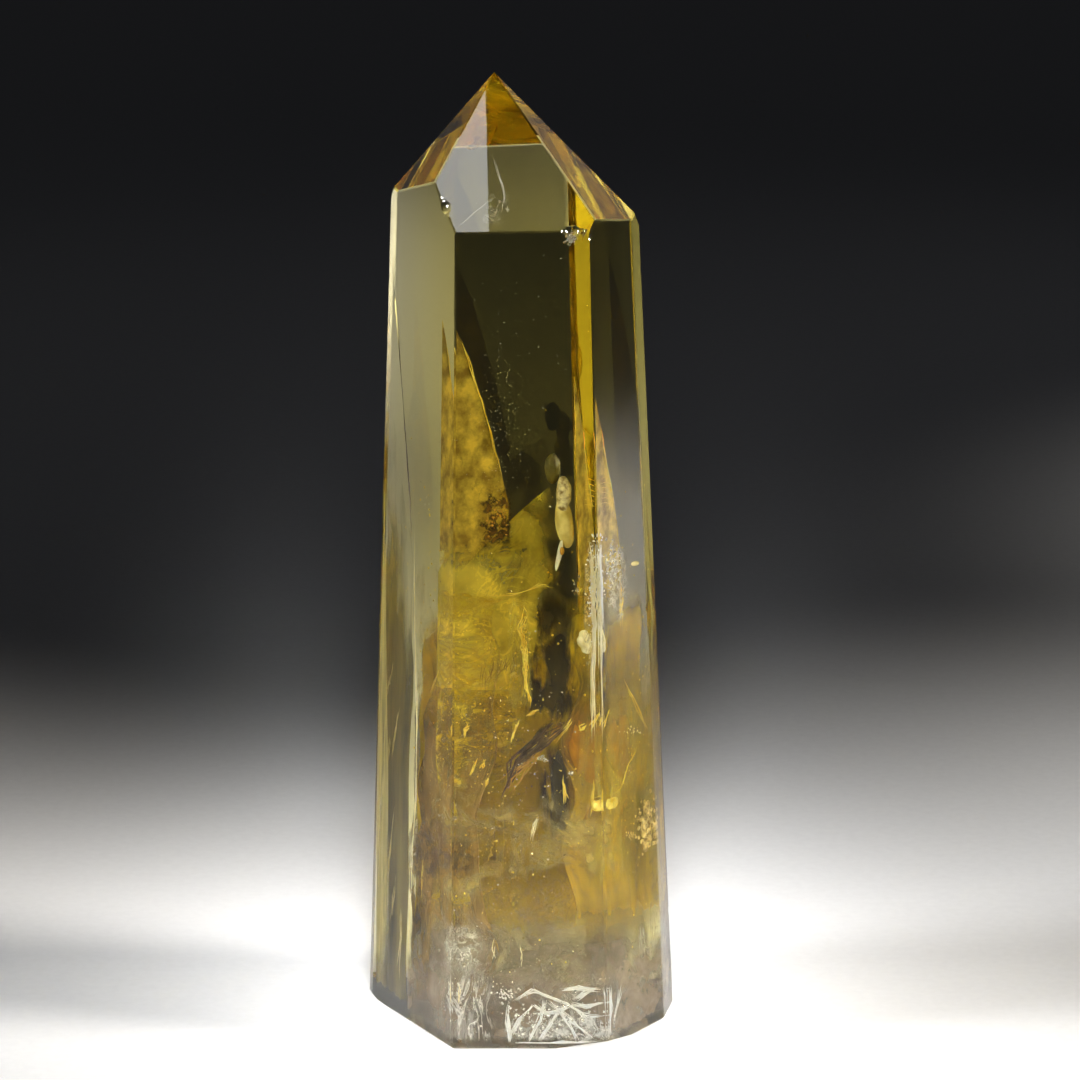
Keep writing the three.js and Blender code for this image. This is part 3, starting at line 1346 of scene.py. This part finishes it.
class Cocoon:
    """The pale, long body with its white tail, high in the middle."""

    def pieces(self) -> list[Piece]:
        """The body in its two parts, the tail and the faint second body behind."""
        return [
            Blob(
                "cocoon_head", Seen(563, 476, 5), Seen(564, 512, 5), MOTTLED_GRAIN, width=1.4,
                depth=1.0, uneven=0.35,
            ),
            Blob(
                "cocoon_body", Seen(562, 498, 5.4), Seen(568, 548, 5.4), OLIVE_GRAIN, width=1.75,
                depth=1.3, uneven=0.1,
            ),
            Blob(
                "cocoon_tail", Seen(562, 540, 4.8), Seen(556, 571, 4.8), WHITE_GRAIN, width=0.5,
                depth=0.4, uneven=0.3,
            ),
            Blob(
                "cocoon_spot", Seen(562, 547, 4.5), Seen(562, 555, 4.5), OCHRE_GRAIN, width=0.4,
                depth=0.3, uneven=0.3,
            ),
            Blob(
                "cocoon_ghost", Seen(553, 453, 8), Seen(553, 484, 8),
                GrainFinish(
                    "ghost_grain", (0.05, 0.042, 0.008), (0.1, 0.085, 0.024), shine=Shine.WAXY,
                    grain=500,
                ),
                width=1.5, depth=1.0, uneven=0.2,
            ),
        ]


class LeftFaceGrowth:
    """The streaks and clouds behind the left-hand faces, with painted light and shade: the image of the
    back edge seen through them, a pale strip along the left edge and a dark ground on the left strip.
    """

    streaks: tuple[tuple[Seen, ...], ...] = (
        (Seen(386, 700, 2), Seen(393, 662, 2.4)),
        (Seen(391, 760, 2), Seen(399, 705, 2.2)),
        (Seen(384, 950, 2), Seen(389, 860, 2.2), Seen(396, 790, 2.4)),
        (Seen(390, 930, 2.6), Seen(398, 850, 2.8)),
        (Seen(381, 860, 2), Seen(387, 770, 2), Seen(390, 735, 2)),
        (Seen(398, 985, 2), Seen(402, 900, 2.2)),
        (Seen(379, 905, 1.6), Seen(382, 800, 1.8)),
    )

    def pieces(self) -> list[Piece]:
        """The growth and the painted light and shade, from the back to the front."""
        return [
            # Olive streaks on a near-black ground; the ground is painted shade on the left strip.
            Veil(
                "veil_left_strip",
                (Seen(376, 1000, 3), Seen(407, 1016, 3), Seen(412, 540, 3), Seen(390, 400, 3)),
                VeilFinish(
                    "olive_streaks_and_painted_shade", (0.03, 0.03, 0.012), (0.36, 0.29, 0.08), cover=0.95,
                    least=0.1, most=0.42, grain=420, stretch=(1.0, 1.0, 0.1), turn=(0, 8, 0), wisps=0.4,
                ),
                fade=Fade(0, 0, 0.05, 0.5), ripple=0.5,
            ),
            # Painted light: the bright pale yellow that the narrow left corner facet passes on from the
            # lit right front.
            Veil(
                "edge_left_pale",
                (Seen(374, 990, 1.2), Seen(382, 995, 1.2), Seen(386, 330, 1.2), Seen(383, 330, 1.2)),
                VeilFinish(
                    "painted_light_veil_upright", (0.6, 0.5, 0.14), (1.0, 0.94, 0.5), cover=0.8, least=0.2,
                    most=0.55, grain=500, stretch=(1.0, 1.0, 0.06), wisps=0.4,
                ),
                fade=Fade(0, 0, 0.1, 0.4), ripple=0.1,
            ),
            Veil(
                "veil_left_face",
                (Seen(408, 1012, 6), Seen(456, 1024, 6), Seen(456, 560, 6), Seen(418, 560, 6)),
                BEIGE_VEIL, fade=Fade(0, 0, 0.1, 0.7), ripple=1.2,
            ),
            Veil(
                "veil_left_gold",
                (Seen(412, 900, 8), Seen(456, 900, 8), Seen(456, 640, 8), Seen(420, 640, 8)),
                replace(FOG_GOLD, name="fog_gold_left", cover=0.7, stretch=UPRIGHT),
                fade=Fade(0.2, 0, 0.3, 0.4), ripple=0.8,
            ),
            Veil(
                "cloud_brown_left",
                (Seen(406, 900, 3), Seen(456, 900, 3.4), Seen(454, 795, 3.4), Seen(408, 795, 3)),
                replace(BROWN_SPECKLE, name="brown_cloud", cover=0.4, grain=600),
                fade=Fade(0.4, 0.3, 0.45, 0.45), ripple=0.6,
            ),
            # Painted shade: the dark upper part of the back edge's image, seen through the left front
            # face.
            Thread(
                "seam_left_dark",
                ((Seen(396, 300, 0.5), Seen(402, 400, 0.5), Seen(410, 500, 0.5), Seen(413, 570, 0.5)),),
                EDGE_PAINTED_SHADE_GRAIN, width=0.12, blade=1.0, strands=5, stray=0.16,
            ),
            # Painted highlight: the bright lower part of the back edge's image, seen through the left
            # front face.
            Thread(
                "seam_left_bright",
                (
                    (
                        Seen(415, 520, 0.5), Seen(414, 600, 0.5), Seen(417, 700, 0.5),
                        Seen(416, 800, 0.5), Seen(410, 880, 0.5), Seen(407, 1016, 0.5),
                    ),
                ),
                PALE_GRAIN, width=0.11, blade=1.0, strands=7, stray=0.16,
            ),
            Thread(
                "streaks_left", self.streaks, OLIVE_GRAIN, width=0.13, blade=1.6, strands=4, stray=0.3,
            ),
            Thread(
                "thread_left",
                (
                    (Seen(427, 700, 3), Seen(435, 680, 3), Seen(443, 663, 3)),
                    (Seen(421, 905, 3), Seen(424, 850, 3)),
                ),
                GOLD_GRAIN, width=0.09, blade=1.0, strands=3, stray=0.2,
            ),
            Glints(
                "glints_left", Seen(431, 780, 3), (16, 190, 1.5), 110, SILVER_GRAIN, least=0.06,
                most=0.2, seed=5,
            ),
            Glints(
                "star_left", Seen(428, 497, 2), (5, 12, 0.5), 9, WHITE_GRAIN, least=0.08, most=0.2,
                seed=6,
            ),
            Glints(
                "glint_foot_left", Seen(441, 817, 2), (3, 4, 0.5), 6, SILVER_GRAIN, least=0.25,
                most=0.5, seed=8,
            ),
        ]


class RightFaceGrowth:
    """The bright ridge by the front face's right edge, what lies behind the right-front face, and a
    painted reflection on the right corner facet.
    """

    def pieces(self) -> list[Piece]:
        """The growth, from the back to the front."""
        return [
            Veil(
                "veil_right_face",
                (Seen(604, 950, 6), Seen(676, 940, 6), Seen(662, 590, 6), Seen(601, 600, 6)),
                replace(
                    FOG_GOLD, name="fog_gold_right", thin=(0.2, 0.15, 0.01), thick=(0.8, 0.6, 0.05),
                    cover=0.8, grain=280, stretch=UPRIGHT,
                ),
                fade=Fade(0, 0, 0.25, 0.6), ripple=1.2,
            ),
            Veil(
                "veil_right_front",
                (Seen(606, 930, 3), Seen(668, 920, 3.4), Seen(656, 620, 3.4), Seen(604, 640, 3)),
                replace(GOLD_VEIL, name="gold_veil_right", cover=0.35, grain=360, stretch=UPRIGHT),
                fade=Fade(0.1, 0.2, 0.4, 0.5), ripple=0.8,
            ),
            # Painted reflection: the faint mauve of the right corner facet.
            Veil(
                "veil_right_corner",
                (Seen(660, 1000, 3), Seen(674, 990, 3), Seen(662, 560, 3), Seen(650, 560, 3)),
                CORNER_REFLECTION_VEIL, fade=Fade(0, 0, 0.1, 0.3), ripple=0.4,
            ),
            Veil(
                "ridge_glow",
                (Seen(595, 690, 1.6), Seen(605, 690, 1.6), Seen(604, 536, 1.4), Seen(592, 536, 1.4)),
                replace(
                    WHITE_CLOUD, name="white_cloud_warm", thin=(0.8, 0.62, 0.2), thick=(1.0, 0.95, 0.7),
                    grain=900, least=0.35,
                ),
                fade=Fade(0.35, 0.35, 0.35, 0.2), ripple=0.2,
            ),
            Thread(
                "ridge_bright",
                (
                    (
                        Seen(597, 541, 1.2), Seen(599, 562, 1.2), Seen(600, 600, 1.2),
                        Seen(601.5, 650, 1.4), Seen(603, 745, 1.6),
                    ),
                ),
                PALE_GRAIN, width=0.17, blade=1.0, strands=16, stray=0.36,
            ),
            Thread(
                "ridge_white", ((Seen(596, 541, 1.1), Seen(599, 575, 1.1), Seen(601, 640, 1.2)),),
                WHITE_GRAIN, width=0.18, blade=1.0, strands=9, stray=0.2,
            ),
            Glints(
                "ridge_grains", Seen(600, 590, 1.4), (5, 44, 0.3), 110, WHITE_GRAIN, least=0.1,
                most=0.3, thin=0.5, seed=10,
            ),
            Veil(
                "ridge_cloud",
                (Seen(606, 632, 2), Seen(630, 628, 2), Seen(628, 536, 2), Seen(604, 540, 2)),
                replace(WHITE_CLOUD, name="white_cloud_ridge", cover=0.55, grain=1100),
                fade=Fade(0.3, 0.4, 0.4, 0.3), ripple=0.3,
            ),
            Glints(
                "ridge_cluster", Seen(613, 564, 2), (8, 20, 0.8), 150, SILVER_GRAIN, least=0.12,
                most=0.5, thin=0.4, seed=11,
            ),
            Thread(
                "ridge_column", ((Seen(621, 576, 2.4), Seen(622, 605, 2.4), Seen(621, 634, 2.6)),),
                GOLD_GRAIN, width=0.14, blade=1.4, strands=8, stray=0.34,
            ),
            Blob(
                "bubble_right", Seen(631, 564, 2.4), Seen(639, 563, 2.4), OLIVE_GRAIN, width=0.5,
                depth=0.4, uneven=0.1,
            ),
            Thread(
                "lines_right",
                (
                    (Seen(620.6, 672, 3), Seen(636, 704, 3), Seen(650, 736, 3)),
                    (
                        Seen(641, 739, 2.6), Seen(632, 758, 2.6), Seen(626, 767, 2.6),
                        Seen(623, 785, 2.6), Seen(616, 794, 2.6), Seen(606, 797, 2.6),
                    ),
                ),
                GOLD_GRAIN, width=0.08, blade=2.0, strands=4, stray=0.18,
            ),
            Glints(
                "bubbles_right", Seen(631, 731, 2.6), (9, 4, 0.4), 16, PALE_GRAIN, least=0.12,
                most=0.26, thin=1.0, seed=12,
            ),
            Blob(
                "nugget_core", Seen(648, 800, 3), Seen(646, 852, 3), NUGGET_GRAIN, width=1.5, depth=0.8,
                uneven=0.9,
            ),
            Glints(
                "nugget_grains", Seen(647, 825, 2.2), (11, 24, 0.6), 90, NUGGET_GRAIN, least=0.3,
                most=0.75, thin=0.8, seed=13,
            ),
            Glints(
                "nugget_small", Seen(631, 835, 2.4), (6, 4, 0.5), 24, NUGGET_GRAIN, least=0.12,
                most=0.4, thin=0.6, seed=14,
            ),
            Glints(
                "rust_spots", Seen(660, 714, 1.6), (4, 8, 0.4), 18, OCHRE_GRAIN, least=0.12, most=0.36,
                thin=0.6, seed=15,
            ),
            Blob(
                "box_yellow", Seen(606, 804, 2.4), Seen(618, 802, 2.4), GOLD_GRAIN, width=1.1,
                depth=0.6, uneven=0.4, blunt=0.6,
            ),
        ]


class FeatherBand:
    """The dark brown feather that crosses the middle, with bright slivers about it."""

    slivers: tuple[tuple[Seen, ...], ...] = (
        (Seen(527, 716, 3), Seen(539, 710, 3)), (Seen(512, 746, 3), Seen(519, 714, 3)),
        (Seen(589, 731, 3), Seen(601, 711, 3)), (Seen(579, 733, 3), Seen(585, 724, 3)),
        (Seen(463, 740, 2.6), Seen(471, 720, 2.6)), (Seen(467, 780, 2.6), Seen(478, 758, 2.6)),
        (Seen(480, 770, 2.6), Seen(485, 760, 2.6)), (Seen(485, 788, 2.6), Seen(489, 777, 2.6)),
        (Seen(556, 741, 4), Seen(575, 716, 4)), (Seen(520, 762, 4), Seen(541, 737, 4)),
        (Seen(566, 812, 5), Seen(563, 770, 5)), (Seen(590, 820, 5), Seen(596, 770, 5)),
    )
    striations: tuple[tuple[Seen, ...], ...] = tuple(
        (Seen(481 + 7 * row, 690 - 3 * row, 3), Seen(489 + 7 * row, 656 - 2 * row, 3))
        for row in range(5)
    )

    def pieces(self) -> list[Piece]:
        """The band, the slivers and the glints on them."""
        return [
            Veil(
                "feather_band",
                (Seen(498, 800, 4), Seen(512, 778, 5), Seen(574, 716, 5), Seen(541, 722, 4)),
                BROWN_FEATHER, fade=Fade(0.12, 0.12, 0.2, 0.2), ripple=0.5,
            ),
            Thread(
                "feather_quills",
                (
                    (Seen(502, 795, 4), Seen(512, 768, 4), Seen(535, 742, 4), Seen(560, 718, 4)),
                    (Seen(510, 776, 3.8), Seen(532, 753, 3.8), Seen(568, 722, 3.8)),
                ),
                BROWN_GRAIN, width=0.2, blade=2.0, strands=14, stray=0.55,
            ),
            Thread(
                "feather_light", ((Seen(500, 798, 3.6), Seen(516, 770, 3.8), Seen(572, 720, 3.8)),),
                OCHRE_GRAIN, width=0.08, blade=1.0, strands=12, stray=0.9,
            ),
            Thread(
                "slivers_gold", self.slivers, GOLD_GRAIN, width=0.16, blade=1.6, strands=3, stray=0.2,
            ),
            Thread(
                "striations", self.striations, BROWN_GRAIN, width=0.05, blade=1.6, strands=4, stray=0.6,
            ),
            Glints(
                "glints_white_middle", Seen(542, 758, 3.4), (6, 5, 0.6), 9, SILVER_GRAIN, least=0.25,
                most=0.6, seed=21,
            ),
            Glints(
                "glints_white_right", Seen(569, 774, 3.4), (4, 4, 0.6), 7, SILVER_GRAIN, least=0.25,
                most=0.5, seed=22,
            ),
            Thread(
                "flame_pale", ((Seen(532, 843, 3), Seen(533, 828, 3), Seen(540, 814, 3)),), PALE_GRAIN,
                width=0.1, blade=1.0, strands=5, stray=0.26,
            ),
            Blob(
                "pale_body_right", Seen(583, 630, 3.6), Seen(588, 654, 3.8), PALE_GRAIN, width=1.2,
                depth=0.7, uneven=0.5,
            ),
        ]


class GoldenVein:
    """The winding golden vein below the cocoon, and the fine arc over it."""

    vein: tuple[Seen, ...] = (
        Seen(520, 596, 3), Seen(525, 612, 3.2), Seen(520, 629, 3.4), Seen(523, 640, 3.4),
        Seen(525, 654, 3.4), Seen(525, 675, 3.4), Seen(527, 698, 3.2), Seen(534, 709, 3),
    )
    arc: tuple[Seen, ...] = (
        Seen(482, 600, 4), Seen(496, 596, 4), Seen(523, 593, 4), Seen(538, 585, 4), Seen(552, 586, 4),
        Seen(566, 592, 4),
    )

    def pieces(self) -> list[Piece]:
        """The vein, the arc and the glint beside them."""
        return [
            Thread(
                "vein_gold", (self.vein,), GOLD_GRAIN, width=0.13, blade=1.4, strands=10, stray=0.34,
            ),
            Thread("vein_arc", (self.arc,), GOLD_GRAIN, width=0.06, blade=2.0, strands=4, stray=0.2),
            Veil(
                "vein_glow",
                (Seen(506, 720, 3.6), Seen(536, 720, 3.6), Seen(528, 590, 3.6), Seen(508, 590, 3.6)),
                replace(GOLD_VEIL, name="gold_veil_vein", stretch=UPRIGHT, cover=0.6, grain=700),
                fade=Fade(), ripple=0.3,
            ),
            Glints(
                "vein_glints", Seen(576, 588, 3), (4, 9, 0.6), 12, SILVER_GRAIN, least=0.15, most=0.4,
                seed=31,
            ),
            Glints(
                "vein_grains", Seen(524, 650, 3), (7, 50, 0.8), 40, GOLD_GRAIN, least=0.1, most=0.3,
                seed=32,
            ),
        ]


class Pinpoints:
    """The finest specks and bubbles, all through the stone."""

    def pieces(self) -> list[Piece]:
        """The specks, group by group."""
        return [
            Glints(
                "specks_upper", Seen(500, 430, 5), (24, 80, 3), 260, PALE_GRAIN, least=0.05, most=0.1,
                seed=41,
            ),
            Glints(
                "specks_front", Seen(520, 330, 1), (60, 110, 0.4), 60, WHITE_GRAIN, least=0.05,
                most=0.11, seed=42,
            ),
            Glints(
                "specks_lower", Seen(520, 760, 5), (75, 160, 4), 260, GOLD_GRAIN, least=0.08, most=0.26,
                seed=43,
            ),
            Glints(
                "specks_bright", Seen(520, 770, 3.4), (75, 190, 2), 170, SILVER_GRAIN, least=0.08,
                most=0.26, seed=44,
            ),
            Glints(
                "specks_wedge", Seen(495, 520, 5.4), (10, 14, 0.5), 50, OCHRE_GRAIN, least=0.1,
                most=0.3, seed=45,
            ),
            Glints(
                "specks_foot", Seen(525, 985, 4), (85, 45, 3), 160, SILVER_GRAIN, least=0.08, most=0.26,
                seed=46,
            ),
            Glints(
                "specks_right", Seen(640, 760, 4), (20, 170, 2), 90, GOLD_GRAIN, least=0.08, most=0.24,
                seed=47,
            ),
            Glints(
                "specks_rear", Seen(520, 700, 17), (75, 200, 2), 220, GOLD_GRAIN, least=0.08, most=0.3,
                seed=48,
            ),
        ]


class TipGrowth:
    """The fine white crack under the tip and the bruised corner of the shoulder."""

    def pieces(self) -> list[Piece]:
        """The crack, its cloud, and the bruise."""
        return [
            Thread(
                "crack_tip",
                (
                    (Seen(490, 148, 0.8), Seen(502, 185, 1), Seen(505, 205, 1), Seen(498, 222, 0.8)),
                    (Seen(505, 205, 1), Seen(509, 214, 1)),
                ),
                WHITE_GRAIN, width=0.05, blade=2.0, strands=3, stray=0.12,
            ),
            Thread(
                "line_tip", ((Seen(459, 226, 0.8), Seen(474.6, 211.8, 0.8), Seen(490, 200, 0.8)),),
                WHITE_GRAIN, width=0.04, blade=2.0,
            ),
            Veil(
                "cloud_tip",
                (Seen(478, 226, 1.4), Seen(511, 226, 1.4), Seen(511, 190, 1.4), Seen(486, 190, 1.4)),
                replace(WHITE_CLOUD, name="white_cloud_faint", cover=0.2, pinpoints=0.2, wisps=0.3),
                fade=Fade(), ripple=0.3,
            ),
            Glints(
                "bruise_shoulder", Seen(571, 238, 0.6), (6, 8, 0.4), 60, SILVER_GRAIN, least=0.12,
                most=0.34, seed=51,
            ),
            Thread(
                "bruise_lines", ((Seen(579, 247, 0.6), Seen(585, 233, 0.6), Seen(589, 226, 0.6)),),
                BROWN_GRAIN, width=0.08, blade=1.0, strands=3, stray=0.16,
            ),
        ]


class Studio:
    """The pale floor and the soft lights."""

    FLOOR_SIZE = 6.0
    FLOOR_GAP = 0.05 * MM
    FLOOR_TINTS = (Stop(0.3, (0.6, 0.59, 0.58)), Stop(0.7, (0.63, 0.62, 0.61)))
    FLOOR_GRAIN_PER_M = 900
    ROOM_COLOUR = (0.012, 0.0125, 0.014)
    INNER_TURNS = 14
    MIRRORED_TURNS = 6
    SHEETS_CROSSED = 20

    def build(self) -> None:
        """Set up the floor, the room and the lights."""
        self._floor()
        self._room()
        for pool in POOLS:
            pool.build()
        for panel in PANELS:
            panel.build()
        self._light_paths()

    def _floor(self) -> None:
        """Lay the pale floor just under the foot."""
        bm = bmesh.new()
        bmesh.ops.create_grid(bm, x_segments=1, y_segments=1, size=self.FLOOR_SIZE / 2)
        bmesh.ops.translate(bm, verts=bm.verts, vec=(0, 0, -self.FLOOR_GAP))
        mesh = bpy.data.meshes.new("floor")
        bm.to_mesh(mesh)
        bm.free()
        graph = Graph("pale_floor")
        paper = graph.noise(graph.coords, self.FLOOR_GRAIN_PER_M, 3)
        graph.join(graph.ramp(paper, self.FLOOR_TINTS), graph.principled.inputs["Base Color"])
        graph.principled.inputs["Roughness"].default_value = 0.8
        mesh.materials.append(graph.material)
        floor = bpy.data.objects.new("floor", mesh)
        bpy.context.scene.collection.objects.link(floor)

    def _room(self) -> None:
        """Give the room its faint light."""
        world = bpy.data.worlds.new("room")
        world.use_nodes = True
        background = world.node_tree.nodes["Background"]
        background.inputs["Color"].default_value = (*self.ROOM_COLOUR, 1)
        bpy.context.scene.world = world

    def _light_paths(self) -> None:
        """Let light turn often enough inside the crystal."""
        scene = bpy.context.scene
        scene.cycles.max_bounces = self.INNER_TURNS
        scene.cycles.transmission_bounces = self.INNER_TURNS
        scene.cycles.glossy_bounces = self.MIRRORED_TURNS
        scene.cycles.transparent_max_bounces = self.SHEETS_CROSSED
        scene.view_settings.view_transform = "Standard"


def aimed(name: str, data: bpy.types.Light, place: Vector, target: Vector) -> Object:
    """Put a light in the room.

    Args:
        name: its name.
        data: the light.
        place: where it hangs.
        target: what it looks at.

    Returns:
        The light's object.
    """
    light = bpy.data.objects.new(name, data)
    light.location = place
    light.rotation_euler = (target - place).to_track_quat("-Z", "Y").to_euler()
    light.visible_camera = False
    bpy.context.scene.collection.objects.link(light)
    return light


@dataclass(frozen=True)
class PoolLight:
    """A lamp that lights a round patch of the floor, bright in the middle and soft at its rim."""

    LAMP_RADIUS: ClassVar[float] = 0.05

    name: str
    middle: tuple[float, float]
    radius: float
    power: float
    height: float = 0.6
    tint: Colour = (1.0, 0.97, 0.92)

    def build(self) -> Object:
        """Hang the lamp over its patch.

        Returns:
            The lamp's object.
        """
        data = bpy.data.lights.new(self.name, "SPOT")
        target = Vector((*self.middle, 0))
        place = target + Vector((0, 0, self.height))
        data.spot_size = 2 * math.atan(self.radius / self.height)
        data.spot_blend = 1.0
        data.energy = self.power
        data.color = self.tint
        data.shadow_soft_size = self.LAMP_RADIUS
        return aimed(self.name, data, place, target)


@dataclass(frozen=True)
class PanelLight:
    """A soft panel of light."""

    name: str
    place: tuple[float, float, float]
    target: tuple[float, float, float]
    size: tuple[float, float]
    power: float
    spread: float
    tint: Colour = (0.95, 0.97, 1.0)

    def build(self) -> Object:
        """Hang the panel.

        Returns:
            The panel's object.
        """
        data = bpy.data.lights.new(self.name, "AREA")
        data.shape = "RECTANGLE"
        data.size, data.size_y = self.size
        data.energy = self.power
        data.color = self.tint
        data.spread = math.radians(self.spread)
        return aimed(self.name, data, Vector(self.place), Vector(self.target))


POOLS = (
    PoolLight("pool_front", (0.05, -0.09), radius=0.09, power=26.0),
    PoolLight("pool_right", (0.076, 0.066), radius=0.06, power=10.0),
    PoolLight("pool_edge", (0.235, 0.045), radius=0.1, power=60.0),
    PoolLight("pool_far", (0.19, 0.18), radius=0.12, power=8.0),
    PoolLight("pool_left", (-0.07, -0.12), radius=0.09, power=4.0, tint=(0.95, 0.93, 1.0)),
)

PANELS = (
    PanelLight(
        "panel_top", (-0.081, -0.11, 0.34), (-0.081, -0.11, 0.0), size=(0.14, 0.18), power=0.045,
        spread=40,
    ),
    PanelLight(
        "panel_front", (0.02, -0.15, 0.27), (0.0, -0.01, 0.02), size=(0.07, 0.07), power=0.02,
        spread=22,
    ),
    PanelLight(
        "panel_foot", (0.0, -0.16, 0.045), (0.0, -0.01, 0.006), size=(0.03, 0.02), power=0.019,
        spread=20,
    ),
    PanelLight(
        "panel_right", (0.22, -0.05, 0.12), (0.0, 0.0, 0.04), size=(0.08, 0.1), power=0.09, spread=30,
        tint=(1.0, 0.97, 0.92),
    ),
    PanelLight(
        "panel_left", (-0.22, -0.05, 0.12), (0.0, 0.0, 0.04), size=(0.08, 0.1), power=0.06, spread=30,
    ),
    PanelLight(
        "panel_back_right", (0.26, 0.42, 0.27), (0.0, 0.0, 0.08), size=(0.25, 0.15), power=0.016,
        spread=120, tint=(0.9, 0.92, 1.0),
    ),
    PanelLight(
        "panel_back_left", (-0.22, 0.42, 0.185), (0.0, 0.0, 0.08), size=(0.2, 0.12), power=0.003,
        spread=120,
    ),
)


def dress_crystal(crystal: Crystal) -> None:
    """Give the CAD node its real finish.

    Args:
        crystal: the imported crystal.
    """
    material = QuartzFinish().build()
    for slot in crystal.node.material_slots:
        slot.material = material
    log.info("%s dressed", NODE)


def main() -> None:
    """Build the scene."""
    logging.basicConfig(level=logging.INFO, format="%(message)s")
    noise.seed_set(NOISE_SEED)
    camera = PhotoCamera()
    camera.build()
    Studio().build()
    crystal = Crystal(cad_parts[NODE], camera)
    dress_crystal(crystal)
    finishes = Finishes()
    groups = (
        GoldenHeart(), PaintedReflectionWedges(), MilkyFoot(), Cocoon(), LeftFaceGrowth(), RightFaceGrowth(),
        FeatherBand(), GoldenVein(), Pinpoints(), TipGrowth(),
    )
    for group in groups:
        for piece in group.pieces():
            piece.build(crystal, finishes)


if __name__ == "__main__":
    main()
